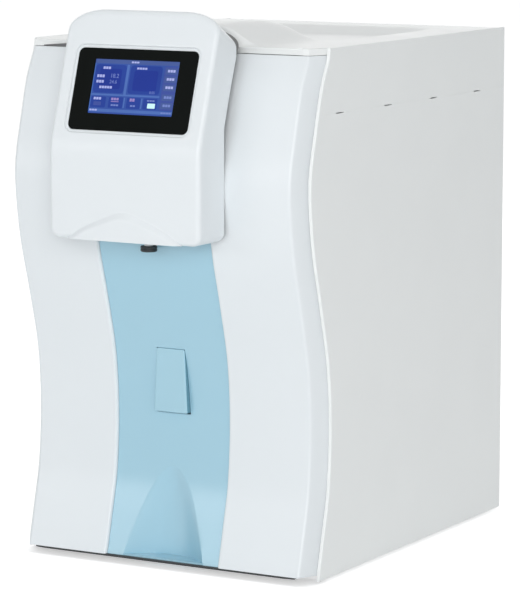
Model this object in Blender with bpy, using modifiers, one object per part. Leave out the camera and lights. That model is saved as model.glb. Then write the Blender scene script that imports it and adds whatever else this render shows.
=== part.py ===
# Bench-top pure water purification system with a touch screen head.
# Metres. +X is the right-hand side seen from the front, +Y the back, +Z up.
# The origin lies on the bench, in the middle of the overall width and depth.

import math

import bmesh
import bpy
from mathutils import Matrix, Vector

# Case
case_width = 0.338
case_depth = 0.425
case_height = 0.517
foot_drop = 0.003
fit_gap = 0.0003
side_wall = 0.003
shell_wall = 0.0025
sheet_wall = 0.002

# Front, an S seen from the side: hollow low down and full higher up
front_width = 0.312
front_lift = 0.0056
front_swell = 0.0205
front_levels = 20
band_depth = 0.020
wing_edge_radius = 0.002
wing_corner_radius = 0.004
corner_steps = 3
s_height_shares = (0, 0.08, 0.16, 0.28, 0.40, 0.52, 0.62, 0.72, 0.78, 0.86, 0.94, 1)
s_swell_shares = (-0.10, 0.40, 0.86, 1.06, 0.84, 0.10, -0.60, -0.98, -0.95, -0.46, 0.12, 0.85)

# Blue centre panel with its vessel niche
panel_width = 0.1288
panel_recess = 0.0035
ledge_reach = 0.006
ledge_gap = 0.0007
niche_height = 0.092
niche_half_width = 0.045
niche_depth = 0.0225
niche_spread = 0.060
niche_neck_share = 0.02
niche_column_shares = (0, 0.25, 0.5, 0.75, 0.92, 1)
flank_column_shares = (0.3, 0.65, 1)

# Side panels
slot_length = 0.020
slot_height = 0.003
slot_drop = 0.063
slot_count = 4
slot_first = 0.048
slot_pitch = 0.101

# Top cover with its cowl and tray
cover_lip = 0.0065
cowl_height = 0.0205
cowl_flat = 0.040
cowl_fade = 0.070
cowl_rise = 0.012
cowl_crest = 0.075
cowl_length = 0.275
tray_depth = 0.008
tray_half_width = 0.127
tray_front = 0.130
tray_back = 0.371
tray_slope = 0.020
cover_rows = 20
cover_columns = 9
cowl_row_shares = (0, 0.25, 0.5, 0.75, 1, 1.6, 2.6)

# Base, bulkhead and rear panel
pan_lift = 0.002
pan_front = 0.036
pan_flange = 0.014
bulkhead_set_back = 0.050
rear_set_in = 0.012
foot_radius = 0.012
foot_inset = 0.030
vent_length = 0.090
vent_height = 0.003
vent_pitch = 0.009
vent_count = 8
vent_level = 0.330

# Control head
head_width = 0.170
head_reach = 0.068
head_bottom = 0.3315
head_bend = 0.422
head_top = 0.551
head_tilt = math.radians(17.8)
head_bend_radius = 0.050
head_back_reach = 0.0215
head_back_bend = 0.440
head_back_tilt = math.radians(16)
head_back_drop = 0.016
head_back_stop = 0.002
head_corner_width = 0.040
head_corner_height = 0.020
head_bottom_radius = 0.010
head_edge_radius = 0.005
head_row_step = 0.025
back_plate_set_in = 0.0005
back_plate_clearance = 0.0009

# Display in the tilted face
bezel_width = 0.134
bezel_height = 0.081
bezel_wall = 0.0015
bezel_level = 0.4765
bezel_corner = 0.006
recess_margin = 0.005
recess_depth = 0.001
lcd_width = 0.09504
lcd_height = 0.05386
lcd_rise = 0.003
lcd_border = 0.003
lcd_wall = 0.004
board_wall = 0.0016
display_board_border = 0.009

# Arm that carries the head
arm_width = 0.055
arm_height = 0.040
arm_level = 0.415
arm_clearance = 0.0005
cable_clearance = 0.002

# Outlet nozzle and its elbow
nozzle_reach = 0.0212
nozzle_radius = 0.008
nozzle_tip = 0.317
nozzle_tip_length = 0.0037
nozzle_taper = 0.001
nozzle_bore = 0.0018
spigot_radius = 0.0045
spigot_length = 0.006
elbow_radius = 0.0088
stem_radius = 0.0045
stem_length = 0.034

# Dispense lever
lever_top_width = 0.032
lever_bottom_width = 0.038
lever_length = 0.064
lever_level = 0.152
lever_stand_out = 0.0070
lever_thickness = 0.009
lever_clearance = 0.0008
lever_foot_clearance = 0.0018
lever_edge = 0.001
pivot_drop = 0.005
pivot_depth = 0.0135
lug_width = 0.024
lug_radius = 0.004
pin_radius = 0.0015
pin_overhang = 0.0085
ear_wall = 0.003
ear_radius = 0.0035
ear_gap = 0.0010
bracket_height = 0.044
switch_drop = 0.014
switch_height = 0.010
switch_width = 0.020
plunger_radius = 0.0015
plunger_reach = 0.0025
plunger_room = 0.003
nub_radius = 0.0025
spring_wire = 0.00035
spring_pitch = 0.0015
spring_turns = 4
spring_points = 10
spring_clearance = 0.0006

# Cartridges, membrane, columns and lamp chamber
row_gap = 0.010
cartridge_radius = 0.032
cartridge_height = 0.260
column_radius = 0.030
column_height = 0.300
membrane_radius = 0.035
membrane_height = 0.340
lamp_radius = 0.025
lamp_height = 0.310
cap_height = 0.026
cap_overhang = 0.003
cap_bevel = 0.004
port_offset = 0.014
port_radius = 0.005
port_height = 0.012
rack_level = 0.170
rack_clearance = 0.0005
rack_leg_width = 0.036
brine_level = 0.040

# Pump, valves, filter, supply and boards
pump_radius = 0.030
pump_length = 0.090
pump_head_length = 0.045
pump_head_half = 0.032
pump_foot = 0.012
pump_clearance = 0.030
valve_width = 0.030
valve_depth = 0.034
valve_height = 0.032
valve_stub = 0.008
coil_radius = 0.012
coil_height = 0.024
filter_radius = 0.022
filter_depth = 0.018
filter_level = 0.272
filter_clearance = 0.0077
supply_width = 0.060
supply_depth = 0.110
supply_height = 0.100
board_set_in = 0.0137
board_width = 0.120
board_height = 0.090
board_level = 0.340
standoff_radius = 0.003
standoff_length = 0.006
standoff_inset = 0.008

# Rear connections
hose_level = 0.026
hose_set_in = 0.0357
hose_pitch = 0.036
hose_flange_radius = 0.010
hose_flange_wall = 0.003
hose_neck_radius = 0.006
hose_neck_length = 0.008
hose_stem_radius = 0.0045
hose_stem_length = 0.008
hose_bore = 0.0018
inlet_set_in = 0.0657
inlet_level = 0.060
inlet_width = 0.050
inlet_height = 0.026
inlet_flange_wall = 0.002
inlet_depth = 0.022
socket_wall = 0.00175
socket_width = 0.0245
socket_height = 0.0165
socket_depth = 0.014
blade_wall = 0.002
blade_height = 0.004
blade_length = 0.008
blade_pitch = 0.007
rocker_level = 0.110
rocker_width = 0.014
rocker_half_height = 0.0095
rocker_dish = math.radians(9)
rocker_rise = 0.0025
rocker_sink = 0.004
rocker_clearance = 0.0006
rocker_axle_radius = 0.0012
rocker_arc_steps = 10
housing_wall = 0.002
housing_flange = 0.004
housing_depth = 0.018

# Tubes and cables
tube_radius = 0.003175
tube_step = 0.016
tube_lift = 0.014
pump_tube_rise = 0.0087
feed_tube_rise = 0.0137
permeate_tube_rise = 0.0277
membrane_tube_rise = 0.0557
lamp_tube_rise = 0.0257
feed_tube_lane = 0.0155
cable_radius = 0.002
cable_step = 0.012
cable_offset = 0.015

# Rules shared by every piece
round_sides = 20
small_sides = 12
overrun = 0.002
weld_distance = 0.00001
smooth_angle = math.radians(35)

# Places worked out from the sizes
front_y = (head_reach - case_depth) / 2
case_bottom = foot_drop
case_top = foot_drop + case_height
back_y = front_y + case_depth
half_width = case_width / 2
inner_half = half_width - side_wall - fit_gap
front_half = front_width / 2
panel_half = panel_width / 2
front_bottom = case_bottom + front_lift
lip_bottom = case_top - cover_lip
front_top = lip_bottom - fit_gap
pan_bottom = case_bottom + pan_lift
floor_top = pan_bottom + sheet_wall
stand_level = floor_top + fit_gap
bulkhead_front = front_y + bulkhead_set_back
bulkhead_back = bulkhead_front + sheet_wall
rear_back = back_y - rear_set_in
rear_front = rear_back - sheet_wall
head_half = head_width / 2
head_front_y = front_y - head_reach
head_rear_y = front_y - head_back_reach
head_base = case_bottom + head_bottom
head_bend_z = case_bottom + head_bend
head_crest = case_bottom + head_top

# Finishes: colour, roughness, metallic
white_plastic = ((0.76, 0.81, 0.84), 0.35, 0)
blue_plastic = ((0.40, 0.62, 0.75), 0.35, 0)
white_enamel = ((0.74, 0.76, 0.76), 0.40, 0)
steel_sheet = ((0.55, 0.56, 0.57), 0.35, 0.9)
polished_steel = ((0.62, 0.62, 0.63), 0.18, 1)
black_glass = ((0.01, 0.012, 0.012), 0.10, 0)
screen_blue = ((0.03, 0.06, 0.33), 0.20, 0)
circuit_green = ((0.02, 0.16, 0.07), 0.45, 0)
dark_plastic = ((0.02, 0.02, 0.025), 0.40, 0)
black_rubber = ((0.02, 0.02, 0.02), 0.75, 0)
filter_plastic = ((0.80, 0.82, 0.84), 0.30, 0)
tube_plastic = ((0.72, 0.78, 0.82), 0.25, 0)


def clear_scene():
    for item in list(bpy.data.objects):
        bpy.data.objects.remove(item, do_unlink=True)


clear_scene()
parts = bpy.data.collections.new("pure_water_system")
cutters = bpy.data.collections.new("cutters")
bpy.context.scene.collection.children.link(parts)
bpy.context.scene.collection.children.link(cutters)


# Building helpers. A piece without a finish is a cutter or a helper.

def make_material(name, finish):
    colour, roughness, metallic = finish
    material = bpy.data.materials.new(name)
    material.use_nodes = True
    shader = material.node_tree.nodes["Principled BSDF"]
    shader.inputs["Base Color"].default_value = (*colour, 1)
    shader.inputs["Roughness"].default_value = roughness
    shader.inputs["Metallic"].default_value = metallic
    return material


def add_object(name, data, finish):
    obj = bpy.data.objects.new(name, data)
    if finish is None:
        cutters.objects.link(obj)
        obj.hide_render = True
        obj.display_type = "WIRE"
    else:
        data.materials.append(make_material(name, finish))
        parts.objects.link(obj)
    return obj


def object_from_bmesh(name, bm, finish):
    mesh = bpy.data.meshes.new(name)
    bm.to_mesh(mesh)
    bm.free()
    return add_object(name, mesh, finish)


def add_box(name, low, high, finish=None):
    bm = bmesh.new()
    bmesh.ops.create_cube(bm, size=1)
    bmesh.ops.scale(bm, vec=Vector(high) - Vector(low), verts=bm.verts)
    bmesh.ops.translate(bm, vec=(Vector(high) + Vector(low)) / 2, verts=bm.verts)
    return object_from_bmesh(name, bm, finish)


def turn_to(direction):
    return Vector((0, 0, 1)).rotation_difference(Vector(direction)).to_matrix().to_4x4()


def add_rod(name, start, end, radius, finish=None, sides=small_sides):
    line = Vector(end) - Vector(start)
    middle = (Vector(start) + Vector(end)) / 2
    bm = bmesh.new()
    bmesh.ops.create_cone(bm, cap_ends=True, segments=sides, radius1=radius, radius2=radius,
                          depth=line.length)
    bm.transform(Matrix.Translation(middle) @ turn_to(line))
    return object_from_bmesh(name, bm, finish)


def add_turned(name, profile, base, direction, finish=None, sides=round_sides):
    # The profile holds (radius, height) pairs and runs down the outer side, top to bottom.
    mesh = bpy.data.meshes.new(name)
    mesh.from_pydata([(radius, 0, height) for radius, height in profile],
                     [(i, i + 1) for i in range(len(profile) - 1)], [])
    obj = add_object(name, mesh, finish)
    screw = obj.modifiers.new("turn", "SCREW")
    screw.steps = sides
    screw.render_steps = sides
    screw.use_merge_vertices = True
    screw.merge_threshold = weld_distance
    obj.matrix_world = Matrix.Translation(base) @ turn_to(direction)
    return obj


def mesh_from_curve(name, curve, matrix, finish):
    source = bpy.data.objects.new(name + "_curve", curve)
    cutters.objects.link(source)
    bpy.context.view_layer.update()
    graph = bpy.context.evaluated_depsgraph_get()
    mesh = bpy.data.meshes.new_from_object(source.evaluated_get(graph))
    bpy.data.objects.remove(source, do_unlink=True)
    bm = bmesh.new()
    bm.from_mesh(mesh)
    bmesh.ops.remove_doubles(bm, verts=bm.verts, dist=weld_distance)
    bmesh.ops.recalc_face_normals(bm, faces=bm.faces)
    bm.to_mesh(mesh)
    bm.free()
    mesh.materials.clear()
    mesh.name = name
    obj = add_object(name, mesh, finish)
    obj.matrix_world = matrix
    return obj


# Drawing planes: an outline's own X and Y become world Y and Z, or world X and Z.
across_x = Matrix(((0, 0, 1, 0), (1, 0, 0, 0), (0, 1, 0, 0), (0, 0, 0, 1)))
across_y = Matrix(((1, 0, 0, 0), (0, 0, -1, 0), (0, 1, 0, 0), (0, 0, 0, 1)))


def add_outline(name, points, thickness, matrix, finish=None):
    curve = bpy.data.curves.new(name, "CURVE")
    curve.dimensions = "2D"
    curve.fill_mode = "BOTH"
    curve.extrude = thickness / 2
    spline = curve.splines.new("POLY")
    spline.points.add(len(points) - 1)
    for point, (x, y) in zip(spline.points, points):
        point.co = (x, y, 0, 1)
    spline.use_cyclic_u = True
    return mesh_from_curve(name, curve, matrix, finish)


def smooth_route(route, step):
    # Points on a smooth curve through the route, about one step apart.
    route = [Vector(point) for point in route]
    ends = [2 * route[0] - route[1], *route, 2 * route[-1] - route[-2]]
    points = []
    for a, b, c, d in zip(ends, ends[1:], ends[2:], ends[3:]):
        count = max(1, round((c - b).length / step))
        for i in range(count):
            t = i / count
            points.append((2 * b + (c - a) * t + (2 * a - 5 * b + 4 * c - d) * t ** 2
                           + (3 * b - a - 3 * c + d) * t ** 3) / 2)
    points.append(route[-1])
    return points


def add_tube(name, points, radius, finish, ring=2):
    curve = bpy.data.curves.new(name, "CURVE")
    curve.dimensions = "3D"
    curve.bevel_depth = radius
    curve.bevel_resolution = ring
    curve.use_fill_caps = True
    spline = curve.splines.new("POLY")
    spline.points.add(len(points) - 1)
    for point, place in zip(spline.points, points):
        point.co = (*place, 1)
    return add_object(name, curve, finish)


def add_shell(name, rows, finish, mirrored=False):
    # Rows of points joined by faces that point outwards, then given a wall on the inside.
    bm = bmesh.new()
    grid = [[bm.verts.new(point) for point in row] for row in rows]
    for low, high in zip(grid, grid[1:]):
        for i in range(len(low) - 1):
            ends = (high[i], low[i + 1]) if mirrored else (low[i + 1], high[i])
            bm.faces.new((low[i], ends[0], high[i + 1], ends[1]))
    return thicken(object_from_bmesh(name, bm, finish), shell_wall)


def thicken(obj, wall):
    solid = obj.modifiers.new("wall", "SOLIDIFY")
    solid.thickness = wall
    solid.offset = -1
    solid.use_even_offset = True
    return obj


def combine(target, tools, operation):
    for tool in tools:
        step = target.modifiers.new(operation.lower(), "BOOLEAN")
        step.operation = operation
        step.object = tool
        step.solver = "EXACT"
    return target


def cut(target, *tools):
    return combine(target, tools, "DIFFERENCE")


def join(target, *tools):
    return combine(target, tools, "UNION")


def soften(obj, width, segments=2):
    bevel = obj.modifiers.new("edges", "BEVEL")
    bevel.width = width
    bevel.segments = segments
    bevel.limit_method = "ANGLE"
    return obj


def set_origin(obj, point):
    # Moves the origin onto the axis that the piece turns about or slides along.
    obj.data.transform(Matrix.Translation(-Vector(point)) @ obj.matrix_world)
    obj.matrix_world = Matrix.Translation(point)
    return obj


def smooth_step(share):
    share = min(1, max(0, share))
    return share * share * (3 - 2 * share)


def arc(centre, radii, start, end, steps=corner_steps):
    points = []
    for i in range(steps + 1):
        angle = start + (end - start) * i / steps
        points.append((centre[0] + radii[0] * math.cos(angle),
                       centre[1] + radii[1] * math.sin(angle)))
    return points


def rounded_rectangle(width, height, radius):
    points = []
    quarter = math.pi / 2
    for turn, (sx, sy) in enumerate(((1, 1), (-1, 1), (-1, -1), (1, -1))):
        centre = (sx * (width / 2 - radius), sy * (height / 2 - radius))
        points += arc(centre, (radius, radius), turn * quarter, (turn + 1) * quarter)
    return points


# The S line of the front

def front_line(z):
    span = front_top - front_bottom
    heights = [share * span for share in s_height_shares]
    depths = [share * front_swell for share in s_swell_shares]
    level = min(span, max(0, z - front_bottom))
    i = 0
    while i < len(heights) - 2 and level > heights[i + 1]:
        i += 1
    slopes = []
    for k in (i, i + 1):
        low = max(0, k - 1)
        high = min(len(heights) - 1, k + 1)
        slopes.append((depths[high] - depths[low]) / (heights[high] - heights[low]))
    step = heights[i + 1] - heights[i]
    t = (level - heights[i]) / step
    return (front_y + (2 * t ** 3 - 3 * t ** 2 + 1) * depths[i]
            + (t ** 3 - 2 * t ** 2 + t) * step * slopes[0]
            + (3 * t ** 2 - 2 * t ** 3) * depths[i + 1]
            + (t ** 3 - t ** 2) * step * slopes[1])


def front_heights():
    return [front_bottom + (front_top - front_bottom) * i / front_levels
            for i in range(front_levels + 1)]


# Front wings

def wing_section(z):
    # From the hidden ledge, round the inner edge, over the face and band, to the rear return.
    face = front_line(z)
    ledge = face + panel_recess + shell_wall + ledge_gap
    turn = math.atan2(band_depth, inner_half - front_half)
    set_in = wing_corner_radius * math.tan(turn / 2)
    edge = (panel_half + wing_edge_radius, face + wing_edge_radius)
    corner = (front_half - set_in, face + wing_corner_radius)
    points = [(panel_half - ledge_reach, ledge), (panel_half, ledge)]
    points += arc(edge, (wing_edge_radius, wing_edge_radius), math.pi, 1.5 * math.pi)
    points += arc(corner, (wing_corner_radius, wing_corner_radius), -math.pi / 2,
                  turn - math.pi / 2)
    points += [(inner_half, face + band_depth), (inner_half, bulkhead_front - fit_gap)]
    return points


def add_wing(name, side):
    rows = [[(side * x, y, z) for x, y in wing_section(z)] for z in front_heights()]
    return add_shell(name, rows, white_plastic, side < 0)


# Centre panel

def niche_width(z):
    # Half width of the niche, and above its top the width that the mesh columns keep.
    drop = (front_bottom + niche_height - z) / niche_height
    if drop > 0:
        return niche_half_width * max(math.sqrt(drop), niche_neck_share)
    climb = min(1, -drop * niche_height / niche_spread)
    return niche_half_width * max(climb, niche_neck_share)


def panel_depth(x, z):
    drop = max(0, (front_bottom + niche_height - z) / niche_height)
    hollow = max(0, 1 - (x / niche_width(z)) ** 2)
    return front_line(z) + panel_recess + niche_depth * math.sqrt(drop) * hollow


def add_centre_panel():
    edge = panel_half - fit_gap
    rows = []
    for z in front_heights():
        inner = niche_width(z)
        right = [inner * share for share in niche_column_shares]
        right += [inner + (edge - inner) * share for share in flank_column_shares]
        across = [-x for x in reversed(right[1:])] + right
        rows.append([(x, panel_depth(x, z), z) for x in across])
    return add_shell("centre_panel", rows, blue_plastic)


# Side panels

def add_side_panel(name, side):
    outline = [(front_line(z) + band_depth, z) for z in front_heights()]
    outline[0] = (outline[0][0], case_bottom)
    outline[-1] = (outline[-1][0], case_top)
    outline += [(back_y, case_top), (back_y, case_bottom)]
    middle = side * (half_width - side_wall / 2)
    panel = add_outline(name, outline, side_wall, Matrix.Translation((middle, 0, 0)) @ across_x,
                        white_enamel)
    level = case_top - slot_drop
    for i in range(slot_count):
        start = front_y + slot_first + slot_pitch * i
        low = (middle - side_wall, start, level - slot_height / 2)
        high = (middle + side_wall, start + slot_length, level + slot_height / 2)
        cut(panel, add_box(f"{name}_slot_{i + 1}", low, high))
    return panel


# Top cover

def cover_height(x, y):
    rise = smooth_step((y - front_line(front_top)) / cowl_rise)
    fall = 1 - smooth_step((y - front_y - cowl_crest) / (cowl_length - cowl_crest))
    side = 1 - smooth_step((abs(x) - cowl_flat) / cowl_fade)
    along = min(y - front_y - tray_front, front_y + tray_back - y) / tray_slope
    across = (tray_half_width - abs(x)) / tray_slope
    tray = tray_depth * smooth_step(along) * smooth_step(across)
    return case_top + cowl_height * rise * fall * side - tray


def add_top_cover():
    front = front_line(front_top)
    back = rear_back + fit_gap + shell_wall
    depths = [cowl_rise * share for share in cowl_row_shares]
    rest = back - front - depths[-1]
    depths += [depths[-1] + rest * (i + 1) / cover_rows for i in range(cover_rows)]
    right = [front_half * i / cover_columns for i in range(cover_columns + 1)] + [inner_half]
    across = [-x for x in reversed(right[1:])] + right
    bm = bmesh.new()
    grid = []
    for depth in depths:
        row = []
        for x in across:
            outside = max(0, abs(x) - front_half) / (inner_half - front_half)
            y = front + depth + band_depth * outside * (1 - depth / (back - front))
            row.append(bm.verts.new((x, y, cover_height(x, y))))
        grid.append(row)
    for near, far in zip(grid, grid[1:]):
        for i in range(len(near) - 1):
            bm.faces.new((near[i], near[i + 1], far[i + 1], far[i]))
    rim = [edge for edge in bm.edges if edge.is_boundary]
    skirt = bmesh.ops.extrude_edge_only(bm, edges=rim)
    for vert in [item for item in skirt["geom"] if isinstance(item, bmesh.types.BMVert)]:
        vert.co.z = lip_bottom
    bmesh.ops.recalc_face_normals(bm, faces=bm.faces)
    return thicken(object_from_bmesh("top_cover", bm, white_plastic), shell_wall)


# Base, feet, bulkhead and rear panel

def add_base_pan():
    front = front_y + pan_front
    pan = add_box("base_pan", (-inner_half, front, pan_bottom), (inner_half, rear_back, floor_top),
                  steel_sheet)
    reach = inner_half - shell_wall - fit_gap
    return join(pan, add_box("pan_flange", (-reach, front, pan_bottom),
                             (reach, front + sheet_wall, floor_top + pan_flange)))


def add_feet():
    height = pan_bottom - fit_gap
    profile = [(0, height), (foot_radius, height), (foot_radius, height / 2),
               (foot_radius - height / 2, 0), (0, 0)]
    front = front_y + pan_front + foot_inset
    rear = rear_back - foot_inset
    for end, y in (("front", front), ("rear", rear)):
        for side, sign in (("left", -1), ("right", 1)):
            x = sign * (inner_half - foot_inset)
            add_turned(f"foot_{end}_{side}", profile, (x, y, 0), (0, 0, 1), black_rubber)


def add_bulkhead():
    return add_box("front_bulkhead", (-inner_half, bulkhead_front, stand_level),
                   (inner_half, bulkhead_back, lip_bottom - fit_gap), steel_sheet)


def add_rear_panel():
    panel = add_box("rear_panel", (-inner_half, rear_front, stand_level),
                    (inner_half, rear_back, lip_bottom - fit_gap), white_enamel)
    for i in range(vent_count):
        z = case_bottom + vent_level + vent_pitch * i
        cut(panel, add_box(f"vent_{i + 1}", (-vent_length / 2, rear_front - overrun, z),
                           (vent_length / 2, rear_back + overrun, z + vent_height)))
    return panel


# Control head

def head_line(z):
    # The front face of the head: upright below the bend, tilted back above it.
    half_bend = head_bend_radius * math.tan(head_tilt / 2)
    above = z - head_bend_z
    if above <= -half_bend:
        return head_front_y
    if above >= half_bend * math.cos(head_tilt):
        return head_front_y + above * math.tan(head_tilt)
    run = above + half_bend
    return head_front_y + head_bend_radius - math.sqrt(head_bend_radius ** 2 - run ** 2)


def head_rear_line(z):
    leaning = head_rear_y + max(0, z - case_bottom - head_back_bend) * math.tan(head_back_tilt)
    return min(leaning, front_y + head_back_stop)


def head_rear_height(z):
    # The top falls towards the back.
    start = case_bottom + head_back_bend
    return z - head_back_drop * smooth_step((z - start) / (head_crest - start))


def head_outline(inset):
    # Right half of the head seen from the front, from the bottom to the top.
    low = head_base + inset
    high = head_crest - inset
    half = head_half - inset
    small = head_bottom_radius - inset
    wide = head_corner_width - inset
    tall = head_corner_height - inset
    points = arc((half - small, low + small), (small, small), -math.pi / 2, 0)
    turn = head_bend_radius * math.tan(head_tilt / 2)
    levels = [low + small, head_bend_z - turn, head_bend_z, head_bend_z + turn,
              case_bottom + head_back_bend, high - tall]
    for near, far in zip(levels, levels[1:]):
        steps = max(1, round((far - near) / head_row_step))
        points += [(half, near + (far - near) * (i + 1) / steps) for i in range(steps)]
    return points[:-1] + arc((half - wide, high - tall), (wide, tall), 0, math.pi / 2,
                        2 * corner_steps)


def mirrored_ring(right):
    return right + [(-x, y, z) for x, y, z in reversed(right)]


def head_front_ring(inset, offset):
    return mirrored_ring([(x, head_line(z) + offset, z) for x, z in head_outline(inset)])


def head_rear_ring(inset, offset):
    right = [(x, head_rear_height(z)) for x, z in head_outline(inset)]
    return mirrored_ring([(x, head_rear_line(z) + offset, z) for x, z in right])


def fill_ring(bm, ring):
    # Rows of faces from the left half of the ring to its right half.
    for i in range(len(ring) // 2 - 1):
        bm.faces.new((ring[-1 - i], ring[i], ring[i + 1], ring[-2 - i]))


def display_matrix():
    z = case_bottom + bezel_level
    face = head_front_y + (z - head_bend_z) * math.tan(head_tilt)
    return Matrix.Translation((0, face, z)) @ Matrix.Rotation(-head_tilt, 4, "X") @ across_y


def display_block(name, size, inner, outer, radius, finish=None, rise=0):
    # A rounded block on the tilted face. Inner and outer count outwards from that face.
    shift = Matrix.Translation((0, rise, (inner + outer) / 2))
    return add_outline(name, rounded_rectangle(*size, radius), outer - inner,
                       display_matrix() @ shift, finish)


def add_head_shell():
    rings = [head_rear_ring(0, 0)]
    for i in range(corner_steps + 1):
        angle = math.pi / 2 * i / corner_steps
        rings.append(head_front_ring(head_edge_radius * (1 - math.cos(angle)),
                                     head_edge_radius * (1 - math.sin(angle))))
    bm = bmesh.new()
    loops = [[bm.verts.new(point) for point in ring] for ring in rings]
    for near, far in zip(loops, loops[1:]):
        for i in range(len(near)):
            j = (i + 1) % len(near)
            bm.faces.new((near[i], near[j], far[j], far[i]))
    fill_ring(bm, loops[-1])
    bmesh.ops.recalc_face_normals(bm, faces=bm.faces)
    shell = thicken(object_from_bmesh("head_shell", bm, white_plastic), shell_wall)
    recess = (bezel_width + 2 * recess_margin, bezel_height + 2 * recess_margin)
    window = (bezel_width + 2 * fit_gap, bezel_height + 2 * fit_gap)
    return cut(shell, display_block("display_recess", recess, -recess_depth, head_edge_radius,
                                    bezel_corner + recess_margin),
               display_block("display_opening", window, -2 * shell_wall, head_edge_radius,
                             bezel_corner))


def add_display():
    back = -recess_depth - bezel_wall
    bezel = display_block("display_bezel", (bezel_width, bezel_height), back, -recess_depth,
                          bezel_corner, black_glass)
    cut(bezel, display_block("lcd_window", (lcd_width, lcd_height), back - overrun, overrun,
                             lcd_border / 2, None, lcd_rise))
    screen_front = back - fit_gap
    screen_back = screen_front - lcd_wall
    screen = (lcd_width + 2 * lcd_border, lcd_height + 2 * lcd_border)
    display_block("lcd_panel", screen, screen_back, screen_front, lcd_border, screen_blue,
                  lcd_rise)
    board_front = screen_back - fit_gap
    board = (lcd_width + 2 * display_board_border, lcd_height + 2 * display_board_border)
    display_block("display_board", board, board_front - board_wall, board_front, lcd_border,
                  circuit_green, lcd_rise)


def cable_hole(name, x, z, front, back, radius):
    return add_rod(name, (x, front - overrun, z), (x, back + overrun, z),
                   radius + cable_clearance)


arm_z = case_bottom + arm_level
arm_front = head_rear_y - back_plate_set_in + fit_gap


def add_head_back_plate():
    ring = head_rear_ring(shell_wall + back_plate_clearance, -back_plate_set_in)
    bm = bmesh.new()
    fill_ring(bm, [bm.verts.new(point) for point in ring])
    bmesh.ops.reverse_faces(bm, faces=bm.faces)
    plate = thicken(object_from_bmesh("head_back_plate", bm, dark_plastic), sheet_wall)
    return cut(plate, cable_hole("plate_cable_hole", 0, arm_z, head_rear_y - sheet_wall,
                                 head_rear_y, cable_radius))


def add_head_arm():
    low = Vector((-arm_width / 2, arm_front, arm_z - arm_height / 2))
    high = Vector((arm_width / 2, bulkhead_front - fit_gap, arm_z + arm_height / 2))
    arm = add_box("head_arm", low, high, steel_sheet)
    wall = Vector((sheet_wall, -overrun, sheet_wall))
    cut(arm, add_box("arm_hollow", low + wall, high - wall))
    reach = Vector((arm_clearance, 0, arm_clearance))
    return add_box("arm_opening", low - reach, high + reach)


# Outlet nozzle, hanging from an elbow whose stem goes back through the centre panel

nozzle_y = front_y - nozzle_reach
nozzle_z = case_bottom + nozzle_tip
elbow_bottom = nozzle_z + nozzle_tip_length + fit_gap
elbow_height = head_base - fit_gap - elbow_bottom
stem_z = elbow_bottom + elbow_height / 2
stem_end = nozzle_y + stem_length


def add_nozzle():
    tip = nozzle_tip_length
    rim = nozzle_radius
    profile = [(0, tip + spigot_length), (spigot_radius, tip + spigot_length),
               (spigot_radius, tip), (rim, tip), (rim, nozzle_taper), (rim - nozzle_taper, 0),
               (nozzle_bore, 0), (nozzle_bore, spigot_length), (0, spigot_length)]
    place = (0, nozzle_y, nozzle_z)
    add_turned("outlet_nozzle", profile, place, (0, 0, 1), dark_plastic)
    socket = spigot_radius + fit_gap
    socket_height = spigot_length + fit_gap
    profile = [(0, elbow_height), (elbow_radius - nozzle_taper, elbow_height),
               (elbow_radius, elbow_height - nozzle_taper), (elbow_radius, 0), (socket, 0),
               (socket, socket_height), (0, socket_height)]
    elbow = add_turned("nozzle_elbow", profile, (0, nozzle_y, elbow_bottom), (0, 0, 1),
                       white_plastic)
    stem = add_rod("elbow_stem", (0, elbow_radius / 2 + spigot_radius / 2, stem_z - elbow_bottom),
                   (0, stem_length, stem_z - elbow_bottom), stem_radius)
    stem.matrix_world = elbow.matrix_world
    join(elbow, stem)
    return add_rod("stem_opening", (0, nozzle_y, stem_z),
                   (0, bulkhead_front, stem_z), stem_radius + fit_gap)


# Dispense lever, its pivot, bracket, spring and switch

lever_base = case_bottom + lever_level
lever_crest = lever_base + lever_length
lever_face = front_line(lever_base) + panel_recess - lever_stand_out
lever_back = lever_face + lever_thickness
pivot_y = lever_face + pivot_depth
pivot_z = lever_crest - pivot_drop
ear_inner = lug_width / 2 + ear_gap
ear_outer = ear_inner + ear_wall
pin_end = ear_outer + pin_overhang
switch_z = pivot_z - switch_drop
nub_end = pivot_y + lug_radius + fit_gap
bracket_back = bulkhead_front - fit_gap
bracket_front = bracket_back - sheet_wall
plunger_tip = nub_end + fit_gap
switch_front = plunger_tip + plunger_reach


def lever_outline(spare_side, spare_end):
    top = lever_top_width / 2 + spare_side
    foot = lever_bottom_width / 2 + spare_side
    return [(-foot, lever_base - spare_end), (foot, lever_base - spare_end),
            (top, lever_crest + spare_side), (-top, lever_crest + spare_side)]


def add_lever():
    middle = (lever_face + lever_back) / 2
    lever = add_outline("dispense_lever", lever_outline(0, 0), lever_thickness,
                        Matrix.Translation((0, middle, 0)) @ across_y, blue_plastic)
    soften(lever, lever_edge)
    half = lug_width / 2
    neck = add_box("lug_neck", (-half, lever_back - overrun, pivot_z - lug_radius),
                   (half, pivot_y, pivot_z + lug_radius))
    lug = add_rod("lug_round", (-half, pivot_y, pivot_z), (half, pivot_y, pivot_z), lug_radius,
                  None, round_sides)
    nub = add_rod("lever_nub", (0, lever_back - overrun, switch_z), (0, nub_end, switch_z),
                  nub_radius)
    join(lever, neck, lug, nub)
    cut(lever, add_rod("lever_hole", (-pin_end, pivot_y, pivot_z), (pin_end, pivot_y, pivot_z),
                       pin_radius + fit_gap))
    return set_origin(lever, (0, pivot_y, pivot_z))


def lever_opening():
    depth = bulkhead_front - lever_face
    return add_outline("lever_opening", lever_outline(lever_clearance, lever_foot_clearance),
                       depth, Matrix.Translation((0, lever_face + depth / 2, 0)) @ across_y)


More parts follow.
